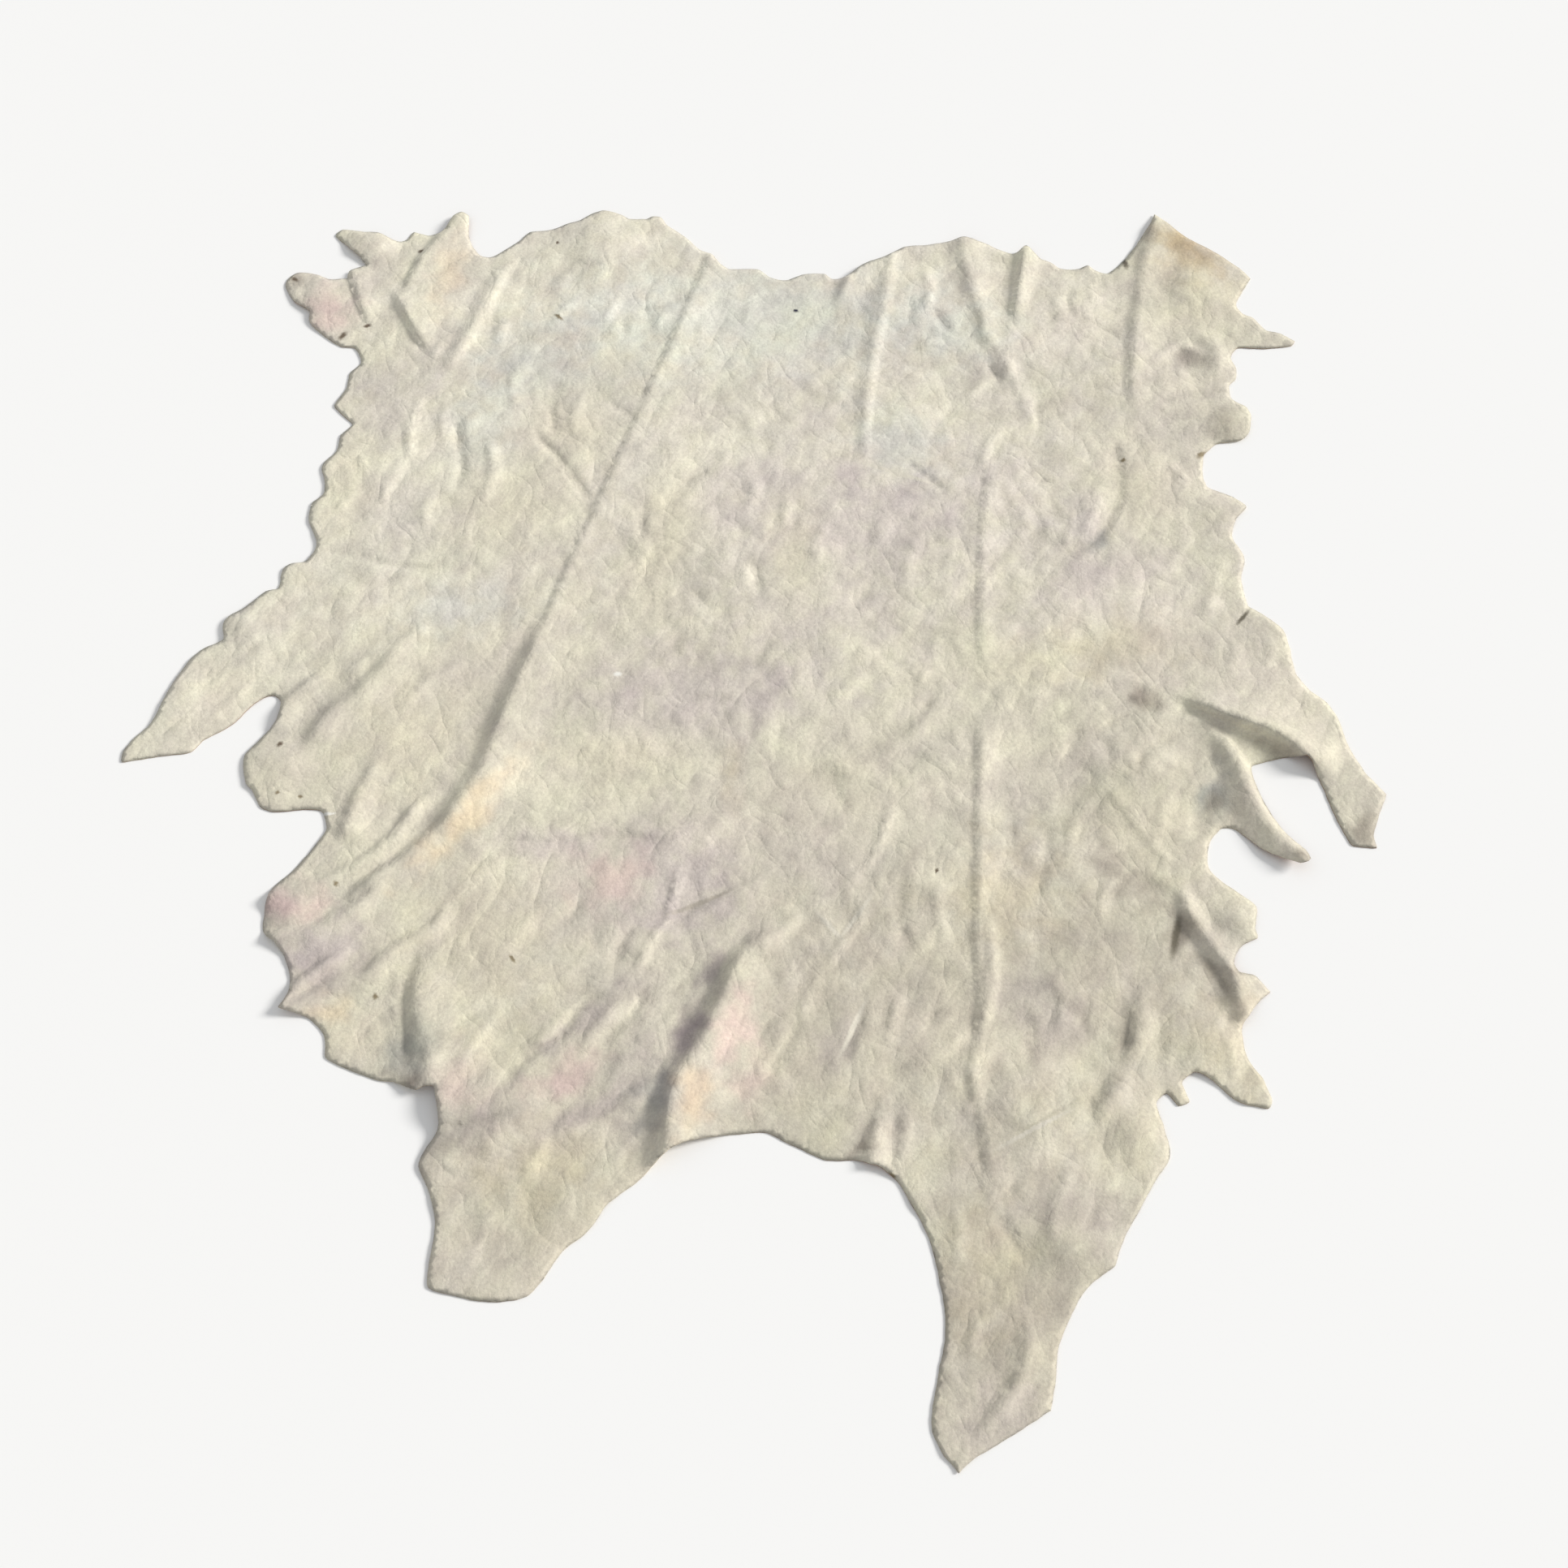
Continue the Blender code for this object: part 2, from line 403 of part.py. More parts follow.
def distance_to_edge(places, edge):
    """How far each place is from the closed edge line."""
    start = edge
    span = np.roll(edge, -1, axis=0) - edge
    offset = places[:, None, :] - start[None]
    share = np.clip((offset * span).sum(2) / (span**2).sum(1), 0, 1)
    return np.linalg.norm(offset - share[..., None] * span, axis=2).min(axis=1)


def add_clear(kept, places, edge, edge_gap, gap):
    """Adds each place that lies inside the edge and clear of the edge and of what is kept already."""
    usable = places[inside(places, edge)]
    usable = usable[distance_to_edge(usable, edge) > edge_gap]
    for place in usable:
        if not kept or np.min(np.linalg.norm(np.array(kept) - place, axis=1)) > gap:
            kept.append(place)


def beside(line, left_run, right_run, dies):
    """Two lines along a crest: the foot of its steep side, and half-way down its gentle side."""
    along = np.gradient(line, axis=0)
    along /= np.linalg.norm(along, axis=1)[:, None]
    left = np.column_stack([-along[:, 1], along[:, 0]])
    steep_side = left if left_run <= right_run else -left
    wider, _ = fanned(np.linspace(0, 1, len(line)), dies)
    across = steep_side * wider[:, None] * CM
    foot = line + across * min(left_run, right_run)
    slope = line - across * max(left_run, right_run) * HALF_WAY
    return foot, slope


def field_points(edge):
    """An even field of points in staggered rows over the whole box of the edge."""
    low = edge.min(axis=0)
    high = edge.max(axis=0)
    row_step = FIELD_STEP * math.sqrt(3) / 2
    field = []
    for i, y in enumerate(np.arange(low[1], high[1], row_step)):
        for x in np.arange(low[0], high[0], FIELD_STEP):
            field.append((x + (i % 2) * FIELD_STEP / 2, y))
    return np.array(field)


def inner_points(edge):
    """The points inside the edge: along each crest, beside it, and in an even field."""
    kept = []
    for _, crest, _, _, _, _ in FOLDS:
        add_clear(kept, crest_line(crest), edge, CREST_EDGE_GAP, CREST_GAP)
    for _, crest, _, left_run, right_run, dies in FOLDS:
        foot, slope = beside(crest_line(crest), left_run, right_run, dies)
        add_clear(kept, foot, edge, CREST_EDGE_GAP, CREST_GAP)
        add_clear(kept, slope, edge, CREST_EDGE_GAP, SLOPE_GAP)
    add_clear(kept, field_points(edge), edge, FIELD_EDGE_GAP, FIELD_GAP)
    return np.array(kept)


def turns_left(flat, face):
    """Whether a face's corners run anticlockwise seen from above."""
    a, b, c = (flat[i] for i in face[:3])
    return (b[0] - a[0]) * (c[1] - a[1]) - (b[1] - a[1]) * (c[0] - a[0]) > 0


def sheet_mesh():
    """The underside of the hide as an open mesh with its folds."""
    edge = edge_line()
    places = [tuple(place) for place in np.vstack([edge, inner_points(edge)])]
    rim = [(i, (i + 1) % len(edge)) for i in range(len(edge))]
    flat, _, faces, _, _, _ = delaunay_2d_cdt(places, rim, [], ONLY_INSIDE, MERGE_GAP)
    flat = np.array([tuple(place) for place in flat])
    height = sheet_height(flat)
    solid = [(x, y - FOLD_LEAN * z, z) for (x, y), z in zip(flat, height)]
    faces = [face if turns_left(flat, face) else face[::-1] for face in faces]
    mesh = bpy.data.meshes.new("hide")
    mesh.from_pydata(solid, [], faces)
    return mesh


def leather_material():
    material = bpy.data.materials.new("suede leather")
    material.use_nodes = True
    shader = material.node_tree.nodes["Principled BSDF"]
    shader.inputs["Base Color"].default_value = LEATHER_COLOUR
    shader.inputs["Roughness"].default_value = LEATHER_ROUGHNESS
    shader.inputs["Metallic"].default_value = 0.0
    return material


def build_hide(collection):
    """The hide: the folded underside, thickened upwards."""
    mesh = sheet_mesh()
    hide = bpy.data.objects.new("hide", mesh)
    collection.objects.link(hide)
    mesh.materials.append(leather_material())
    mesh.shade_smooth()
    skin = hide.modifiers.new("thickness", "SOLIDIFY")
    skin.thickness = THICKNESS
    skin.offset = 1.0
    return hide


def main():
    clear_scene()
    collection = bpy.data.collections.new("cowhide rug")
    bpy.context.scene.collection.children.link(collection)
    build_hide(collection)


main()
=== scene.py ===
"""The looks of a cowhide rug, spread on the floor with its leather side up.

One fine closed sheet stands for the plain solid: the leather with its folds, wrinkles, stains and marks
above, with painted shade by its folds and hollows and painted light and shade on its small relief, the
rounded cut edge, and the short coat beneath. Metres, +Z up, the floor at z = 0. The tables are in
centimetres, and give places on the floor as they are read from the camera's side.
"""
import math

import bpy
import numpy as np
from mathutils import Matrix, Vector
from mathutils.geometry import delaunay_2d_cdt
from mathutils.kdtree import KDTree


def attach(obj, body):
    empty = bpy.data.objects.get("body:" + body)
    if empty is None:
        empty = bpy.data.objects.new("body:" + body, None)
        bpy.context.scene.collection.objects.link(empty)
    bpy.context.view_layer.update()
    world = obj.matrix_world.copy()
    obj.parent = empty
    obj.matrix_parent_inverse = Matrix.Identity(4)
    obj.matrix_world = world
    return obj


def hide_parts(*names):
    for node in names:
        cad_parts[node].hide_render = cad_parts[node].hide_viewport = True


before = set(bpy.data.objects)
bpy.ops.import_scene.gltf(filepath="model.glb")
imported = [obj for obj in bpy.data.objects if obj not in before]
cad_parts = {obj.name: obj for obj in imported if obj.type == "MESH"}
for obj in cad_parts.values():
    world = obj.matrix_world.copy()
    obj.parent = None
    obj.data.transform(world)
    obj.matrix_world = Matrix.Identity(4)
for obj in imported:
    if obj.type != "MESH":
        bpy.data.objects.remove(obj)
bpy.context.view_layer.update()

# Sizes, in metres
CM = 0.01
MM = 0.001
THICKNESS = 0.003

# How far apart the sheet's points are, in metres: steps along a line or a row, and gaps kept to points
# already set. UNDER_REACH is how far round a point of the coarse underside the lowest height is sought,
# and HALF_FIELD is half the length of the rows.
EDGE_STEP = 0.0062
LINE_STEP = 0.005
RAISING_STEP = 0.012
TOP_STEP = 0.0066
UNDER_STEP = 0.02
TOP_GAP = 0.0042
UNDER_GAP = 0.009
UNDER_REACH = 0.013
MERGE_GAP = 1e-6
HALF_FIELD = 1.1

# How many directions round a point are tried for the lowest height
UNDER_TURNS = 6

# The least distance from a line that is divided by, in metres
LEAST_APART = 1e-9

# The triangulation's choice that keeps only the triangles within the edge
ONLY_INSIDE = 1

# The material slot of the coat. The leather's is 0.
COAT_SLOT = 1

# The mix node's sockets for colours: factor, first and second colour, and the result
MIX_INPUTS = (0, 6, 7)
MIX_OUTPUT = 2

# The tables' places are read along a line of sight 60 degrees below level, so a raised point
# stands nearer the viewer than where it is read, by this share of its height.
SIGHT_ANGLE = math.radians(60)
FOLD_LEAN = 1 / math.tan(SIGHT_ANGLE)

# How the edge turns at a point
ROUND = 1.0
SOFT = 0.6
SHARP = 0.0

# The edge, clockwise from the notch beside the left cheek. Columns: x, y, turn.
NECK_EDGE = (
    (-50.6, 103.5, ROUND), (-48.6, 103, ROUND), (-46.2, 104.7, ROUND), (-43.4, 107.2, SOFT),
    (-41.8, 109.2, SOFT), (-37.8, 109.9, ROUND), (-34.6, 111.5, ROUND), (-32.6, 112.2, SOFT),
    (-30.2, 114, SOFT), (-28.4, 114.7, ROUND), (-25, 113.5, SOFT), (-23.6, 112.5, SOFT),
    (-20.4, 112.5, SOFT), (-19.2, 113.2, SOFT), (-17.7, 113, SOFT), (-16.4, 111, SOFT),
    (-13.4, 108.4, SOFT), (-10.2, 104.8, SOFT), (-8.2, 103.8, SOFT), (-6.4, 101.3, ROUND),
    (-4.8, 100.1, SOFT), (0.4, 100.1, SOFT), (2.6, 98.2, SOFT), (5.4, 97.4, ROUND),
    (8.4, 98.8, SOFT), (12.6, 99, SOFT), (14, 97.7, SOFT), (16.4, 98.2, ROUND),
    (20, 101.5, ROUND), (24.2, 103.4, ROUND), (27.3, 105.6, SOFT), (32.2, 106.2, ROUND),
    (36.2, 107.1, ROUND), (38.2, 107.8, ROUND), (41.8, 106.6, ROUND), (45.4, 104.6, ROUND),
    (47, 103.9, SOFT), (48.4, 104.5, SOFT), (49.6, 105.6, SOFT), (52.2, 102.6, SOFT),
    (54, 101.8, ROUND), (55.7, 100.3, ROUND), (58.6, 100.1, ROUND), (60.8, 101.1, SOFT),
    (62.2, 99.7, ROUND), (64.2, 99.1, ROUND),
)
RIGHT_CHEEK_EDGE = (
    (66.8, 101.4, SOFT), (70, 105.9, SOFT), (73, 111.3, SOFT), (74, 113.8, SHARP),
    (79.3, 108.1, SOFT), (84.5, 104.2, SOFT), (89.2, 99.4, SOFT), (90.1, 97.8, SHARP),
    (88.4, 94.7, SOFT), (86.9, 91.6, ROUND), (87.7, 89.5, SOFT), (89.6, 88.4, SOFT),
    (91.6, 85.5, SOFT), (94.2, 84.7, SOFT), (96.5, 82.9, SHARP), (95.8, 81.9, SOFT),
    (91, 81.2, SOFT), (86.2, 81.4, SOFT), (84.6, 79.2, ROUND), (85.4, 76.2, ROUND),
    (85, 74.2, SOFT), (83.7, 72.6, SOFT),
)
RIGHT_SHOULDER_EDGE = (
    (83.7, 69.8, SOFT), (86.3, 67.6, SOFT), (86.8, 66, SOFT), (86.1, 62.2, SOFT),
    (84.5, 60.4, SOFT), (80.4, 59.7, SOFT), (77.8, 57.2, SOFT), (77.2, 52.8, ROUND),
    (77.8, 50.2, SOFT), (81.8, 48, SOFT), (83.9, 46.1, SOFT), (81.8, 43.4, SOFT),
    (80.9, 39.6, ROUND), (82.4, 35.6, ROUND), (81.5, 30.5, ROUND), (82, 25.6, SOFT),
    (83.3, 24.6, SOFT),
)
RIGHT_FORE_SHANK_EDGE = (
    (87.3, 20.9, SOFT), (88, 16.6, ROUND), (88.4, 12.4, ROUND), (90.4, 8.8, SOFT),
    (92.7, 6.6, ROUND), (94.2, 3.2, ROUND), (95.2, -1.8, ROUND), (97.3, -6.6, SOFT),
    (100, -10.4, SHARP), (98.5, -13.8, SOFT), (97, -17.8, SOFT), (97.2, -19.9, SHARP),
    (93.5, -19.5, SOFT), (91.8, -15.4, ROUND), (90, -8.5, ROUND), (88.5, -4.3, SOFT),
    (87.6, -3.2, SOFT), (79.4, -5.3, SOFT),
)
ELBOW_STRIP_EDGE = (
    (79.9, -9.9, ROUND), (82.6, -16.5, ROUND), (85.8, -20.4, SOFT), (86.2, -21.8, SOFT),
    (84.6, -22.4, SOFT), (79.6, -20.3, ROUND), (77.1, -18, ROUND), (75.2, -16.5, SOFT),
    (73.4, -16.5, SOFT), (71.2, -19.4, ROUND), (71, -24, ROUND),
)
RIGHT_FLANK_EDGE = (
    (74.4, -27.4, SOFT), (77.3, -30.1, SOFT), (76.7, -33.8, SOFT), (77, -35.4, SOFT),
    (74.3, -36.9, ROUND), (72.7, -39.6, SOFT), (73.4, -41, SOFT), (75.8, -41.7, SOFT),
    (77.9, -44.4, SHARP), (75, -46.9, SOFT), (73.1, -49.8, ROUND), (73.3, -54.6, ROUND),
    (75.4, -58.6, SOFT), (76.3, -61.8, SOFT), (75.6, -62.9, SOFT), (71.4, -61.9, SOFT),
    (69.4, -60.2, SOFT), (66.8, -57.6, ROUND), (65.2, -57.2, SOFT), (63.4, -58.9, SOFT),
    (64.2, -61.9, SOFT), (62.6, -62.5, SOFT), (61, -60.6, SOFT), (59.3, -62, SOFT),
)
RIGHT_HIND_SHANK_EDGE = (
    (60.1, -66, ROUND), (60.6, -70.2, ROUND), (58.4, -73.6, SOFT), (55.6, -78.2, ROUND),
    (52.6, -83.4, ROUND), (51.5, -86.4, SOFT), (48.2, -88.7, ROUND), (45.6, -92.2, ROUND),
    (43, -97.4, ROUND), (42.3, -101.6, ROUND), (41.3, -106.4, SHARP), (35.8, -109.8, SOFT),
    (30.6, -112.8, SOFT), (28.5, -114.6, SHARP), (26.4, -112, SOFT), (25.2, -109.2, ROUND),
    (25.3, -106.2, ROUND), (26.2, -102, ROUND), (27.5, -95.2, ROUND), (27, -89.4, ROUND),
    (25.6, -82.4, ROUND), (22.6, -76, ROUND), (21.3, -73.8, SOFT),
)
TAIL_ARCH_EDGE = (
    (18.6, -71.5, SOFT), (16.6, -70.9, SOFT), (11.3, -70.8, SOFT), (6.8, -68.8, ROUND),
    (2.4, -66.6, SOFT), (-1.3, -66.9, SOFT), (-8.3, -67.5, ROUND), (-11.2, -68.7, SOFT),
)
LEFT_HIND_SHANK_EDGE = (
    (-13.4, -71.2, ROUND), (-15.3, -73.6, ROUND), (-19.9, -77.4, SOFT), (-22.6, -81.4, ROUND),
    (-25.9, -84.2, SOFT), (-28.8, -88.8, ROUND), (-30.6, -90.7, SOFT), (-34.7, -91.5, ROUND),
    (-40, -90.8, ROUND), (-44.3, -89.5, SOFT), (-44.6, -87.6, ROUND), (-44.1, -80.2, ROUND),
    (-45.2, -76, ROUND), (-47.1, -71.2, ROUND), (-44.8, -66, ROUND), (-45, -62.2, ROUND),
    (-45.8, -59.2, SOFT),
)
LEFT_FLANK_EDGE = (
    (-47.2, -59.2, SOFT), (-48.4, -59.8, SOFT), (-52, -58.7, SOFT), (-53.8, -58.7, SOFT),
    (-58.8, -56.8, ROUND), (-62.2, -55, SOFT), (-62.8, -51.6, SOFT), (-65.4, -48.7, ROUND),
    (-69.9, -46.7, SHARP), (-68.7, -43.8, SOFT), (-69.6, -39.8, ROUND), (-71.8, -36, SOFT),
    (-73.9, -34.2, SOFT), (-74, -30.4, ROUND), (-73.4, -27, SOFT), (-70.6, -24, ROUND),
    (-67.4, -19.2, ROUND), (-66.1, -16.6, SOFT), (-67.2, -13.5, SOFT), (-69.2, -13.1, ROUND),
    (-74.6, -13.5, SOFT), (-76.9, -12.7, SOFT), (-78.6, -9.5, SOFT), (-79.7, -8.4, SOFT),
    (-80.5, -3.4, ROUND), (-78.4, -0.3, ROUND), (-76.2, 3.4, ROUND),
)
LEFT_FORE_SHANK_EDGE = (
    (-75.8, 6.8, SOFT), (-77.6, 8.1, ROUND), (-80.2, 6.4, ROUND), (-83.4, 2.4, SOFT),
    (-87.6, -0.5, SOFT), (-89.2, -2.6, SOFT), (-94.4, -3.4, SOFT), (-99.9, -4.4, SOFT),
    (-100, -2.4, SOFT), (-98.6, 0, SOFT), (-96.2, 3, ROUND), (-94.6, 8.4, ROUND),
    (-92.4, 13.6, ROUND), (-90.2, 16.8, ROUND), (-86.7, 18.9, SOFT), (-87, 22.6, ROUND),
    (-83.8, 25.4, ROUND), (-81, 28.5, SOFT), (-79, 29.1, SOFT), (-78.6, 33.1, SOFT),
    (-77.2, 34.2, SOFT), (-75, 34.6, SOFT),
)
LEFT_SHOULDER_EDGE = (
    (-73.5, 38.2, ROUND), (-75.4, 43.2, ROUND), (-75.2, 46.8, SOFT), (-73.4, 48.8, SOFT),
    (-73.6, 51.6, ROUND), (-74.4, 54.8, ROUND), (-72.2, 58.2, ROUND), (-71.9, 61.6, SOFT),
    (-70.1, 64, SOFT), (-73.7, 68, SOFT), (-71.9, 72.2, ROUND), (-71.8, 75.4, SOFT),
    (-70, 78, ROUND), (-71.4, 81.4, SOFT),
)
LEFT_CHEEK_EDGE = (
    (-73.8, 81.7, SOFT), (-77.2, 84.2, ROUND), (-80, 87.4, ROUND), (-80.3, 90, SOFT),
    (-83.4, 92.4, ROUND), (-85.5, 96.6, ROUND), (-83.8, 99.1, ROUND), (-80.6, 98.9, ROUND),
    (-77.6, 97.6, SOFT), (-74.3, 97.8, SHARP), (-74.1, 99.6, SOFT), (-71.1, 101, SHARP),
    (-73, 103.8, SOFT), (-77.6, 108.4, SOFT), (-76.4, 109.9, SOFT), (-72.2, 109.2, SOFT),
    (-69.6, 109, SOFT), (-66, 106.9, ROUND), (-64.3, 107.4, SOFT), (-63.2, 109.3, SOFT),
    (-60.4, 108.4, ROUND), (-57.6, 109.5, SOFT), (-56.2, 112.9, SOFT), (-54.7, 114.1, SOFT),
    (-53.2, 112.9, SOFT), (-52.8, 107.6, ROUND),
)
EDGE_STRETCHES = (
    NECK_EDGE, RIGHT_CHEEK_EDGE, RIGHT_SHOULDER_EDGE, RIGHT_FORE_SHANK_EDGE, ELBOW_STRIP_EDGE,
    RIGHT_FLANK_EDGE, RIGHT_HIND_SHANK_EDGE, TAIL_ARCH_EDGE, LEFT_HIND_SHANK_EDGE,
    LEFT_FLANK_EDGE, LEFT_FORE_SHANK_EDGE, LEFT_SHOULDER_EDGE, LEFT_CHEEK_EDGE,
)

# Where a fold dies away along its crest
BOTH_ENDS = (True, True)
FAR_END = (False, True)
NEAR_END = (True, False)

# The main folds, each a crest with a steep side and a gentle one. Columns: name, points of the crest,
# height, run to its left and to its right as the crest is walked, and the ends where it dies away.
FOLDS = (
    ("left cheek spike", ((-64, 92), (-62.7, 97.1), (-61.4, 101.5), (-60, 104.6), (-57.4, 109.3),
      (-55.6, 112.8)),
     1.2, 1.3, 6, NEAR_END),
    ("left cheek groove", ((-56.6, 79), (-59.8, 83.7), (-62.4, 88.7), (-64, 92), (-66.9, 96.2)),
     0.9, 1.1, 5, BOTH_ENDS),
    ("left cheek step", ((-69.2, 84), (-69.6, 87.4), (-70.5, 90.2), (-71.6, 92.8), (-72.6, 95.6),
      (-73.3, 99)),
     0.7, 0.9, 4, NEAR_END),
    ("neck crease", ((-20.4, 66), (-16.6, 77), (-13.6, 86), (-11.2, 94), (-9, 101),
      (-7.6, 106)),
     0.6, 0.9, 5, NEAR_END),
    ("left neck ridge", ((-55.3, 74), (-53, 79.5), (-49.8, 87), (-47, 96), (-43.5, 104)),
     0.8, 3.4, 1.8, BOTH_ENDS),
    ("right neck ridge", ((19.3, 54), (19.6, 65.3), (21.4, 80.4), (23.2, 91), (25.2, 104)),
     0.7, 3.6, 1.6, NEAR_END),
    ("nape step", ((13.6, 89), (16.2, 95.5), (18.2, 102)), 1, 1.8, 5, NEAR_END),
    ("poll ridge", ((41.5, 80), (40.6, 90), (39.2, 97), (38.2, 103), (38, 110)),
     1.2, 3.6, 5.2, NEAR_END),
    ("poll lap", ((46, 86), (47.2, 92.5), (48.2, 98), (49.6, 107)), 1.5, 1.4, 4.6, NEAR_END),
    ("right cheek wall", ((65.6, 68), (66.6, 76), (67.9, 84.8), (69.6, 93), (71, 101.5),
      (73.2, 110)),
     0.9, 2.4, 6, NEAR_END),
    ("right cheek pocket", ((79.4, 72.5), (82.2, 77), (81.4, 82.5), (77.5, 85.5)),
     0.8, 4, 3, BOTH_ENDS),
    ("long crease, upper", ((-35.6, 17), (-30.8, 33), (-26.8, 45), (-22.6, 58), (-18.4, 71)),
     0.5, 0.9, 6, BOTH_ENDS),
    ("long crease", ((-50, -18.2), (-47, -14), (-43.8, -8.6), (-41.8, -3.4), (-39.4, 5.5),
      (-36.3, 15), (-33, 24)),
     1.7, 3, 9, BOTH_ENDS),
    ("long crease, lower", ((-62.5, -29.4), (-59.6, -26.6), (-55.2, -23), (-51.6, -19.8), (-47.2, -14.6),
      (-43.6, -8)),
     1.4, 1.3, 4.5, BOTH_ENDS),
    ("flank pleat, upper", ((-76, -28.7), (-67.2, -26.3), (-62.4, -24), (-58, -20.6),
      (-54.6, -16.6), (-52.6, -12.8), (-48.5, -8.8)),
     1.3, 1.3, 3.6, FAR_END),
    ("flank pleat, middle", ((-76, -36), (-71, -34.8), (-66.6, -34), (-62.8, -31.8),
      (-58.8, -28.8), (-56.4, -25.6), (-54.6, -21.8)),
     1.2, 1.3, 3.6, FAR_END),
    ("flank pleat, lower", ((-73, -49), (-65, -44.6), (-60.8, -42.6), (-57.6, -41.6),
      (-55.6, -39.2), (-51.8, -35.6), (-47.8, -33.2), (-45.8, -27.5)),
     1.2, 1.4, 4, FAR_END),
    ("flank tip pleat", ((-72.5, -48), (-68, -43.6), (-64.6, -40.4), (-61.6, -38.2), (-59, -35.6)),
     1.3, 1.5, 2.4, FAR_END),
    ("flank corner", ((-46.2, -61), (-46.6, -56), (-48, -50.6), (-49.3, -46.6), (-49.2, -42.6),
      (-47.9, -38.4)),
     1.9, 7, 13, FAR_END),
    ("croup fold", ((-11.6, -70), (-11.5, -62.4), (-10.6, -58.4), (-8.6, -54.8), (-5.6, -49),
      (-3.4, -43.4), (-1.4, -38.6), (1.8, -35.4), (7, -33.4)),
     2.3, 3.2, 9, FAR_END),
    ("hock pleat, upper", ((-28.8, -68.6), (-26.4, -64.6), (-24.2, -62.6), (-21, -61.4), (-17, -58.8)),
     0.8, 1.6, 3.4, BOTH_ENDS),
    ("hock pleat, lower", ((-22.6, -66), (-19.4, -62.6), (-16.2, -60.6), (-13.4, -58.8), (-11.4, -56.4)),
     0.9, 1.6, 3.4, BOTH_ENDS),
    ("loin crease", ((-14, -33.5), (-5, -29), (4, -24.5)), 0.6, 1.3, 4.5, BOTH_ENDS),
    ("rib trough edge", ((10, -7), (18, -3.4), (24, 1.2), (29, 7)),
     1, 2.6, 5, BOTH_ENDS),
    ("right side line, lower", ((34.6, -76), (34, -66), (33, -57), (34.6, -47),
      (34.4, -37), (35.2, -24), (35.8, -11), (37, 6)),
     0.55, 1.2, 4.5, BOTH_ENDS),
    ("right side line, upper", ((37.2, 12), (38, 30), (38.8, 42), (41, 58)),
     0.4, 0.9, 4, BOTH_ENDS),
    ("left elbow", ((-76.6, 4.5), (-71.6, 10.3), (-67.5, 15.5)), 1.2, 2, 5, FAR_END),
    ("left brisket", ((-72, -4), (-68.2, 3.8), (-63.5, 8.5), (-59.5, 14), (-55.5, 20)),
     1.2, 2.6, 6, BOTH_ENDS),
    ("left girth", ((-63, -16), (-61, -8.5), (-58, -2)), 0.9, 1.8, 4, FAR_END),
    ("right elbow lip", ((68, 8), (74, 5.5), (78, 3.7), (82.2, 1.9), (85.8, -0.9), (88.2, -3.9)),
     2.6, 6, 2.4, NEAR_END),
    ("elbow strip curl", ((86.5, -22.5), (81.6, -17.4), (78.6, -11), (77.3, -5), (75.2, -0.6),
      (71.6, 2.6)),
     2.1, 5.4, 2.6, FAR_END),
    ("right flank lap", ((73.2, -47.5), (72.2, -41), (69.4, -36), (66.8, -31), (65.8, -24)),
     1.5, 2.6, 3.4, FAR_END),
    ("right flank pocket", ((54.2, -56.5), (57, -51.5), (58, -47), (61.5, -42.5)),
     0.9, 2.6, 4, BOTH_ENDS),
    ("right stifle", ((48.5, -68), (52.8, -61), (57.5, -56)), 1.1, 3.4, 5, BOTH_ENDS),
    ("right shank twist", ((30, -111), (35.6, -104.4), (38.2, -99), (38.8, -92)),
     1, 3, 3, BOTH_ENDS),
    ("tail arch tuck", ((17.4, -73), (18.2, -68), (19.6, -62)), 1.2, 3, 3.4, FAR_END),
)

# Broad soft swells. Columns: name, x, y, radius, height.
SWELLS = (
    ("poll", -28, 106, 13, 0.9),
    ("right poll", 57, 92, 10, 0.8),
    ("right cheek", 81, 96, 10, 0.9),
    ("right cheek lobe", 83, 64, 6, 0.5),
    ("right shoulder lobe", 79, 45, 7, 0.7),
    ("left cheek lobe", -79, 92, 8, 0.7),
    ("left cheek flap", -71, 106, 7, 1),
    ("left shoulder", -82, 21, 9, 0.8),
    ("left brisket lobe", -76, -5, 8, 0.9),
    ("left flank lobe", -70, -31, 6, 1),
    ("left thigh", -37, -63, 11, 1.3),
    ("left hock", -25, -76, 8, 0.8),
    ("belly", 61, -9, 13, 1.2),
    ("right flank lobe", 74, -32, 5, 0.8),
    ("right flank flap", 67, -52, 8, 0.9),
    ("right stifle", 56, -66, 7, 1),
    ("right thigh", 42, -63, 12, 1.1),
    ("right hock", 46, -82, 8, 0.9),
)

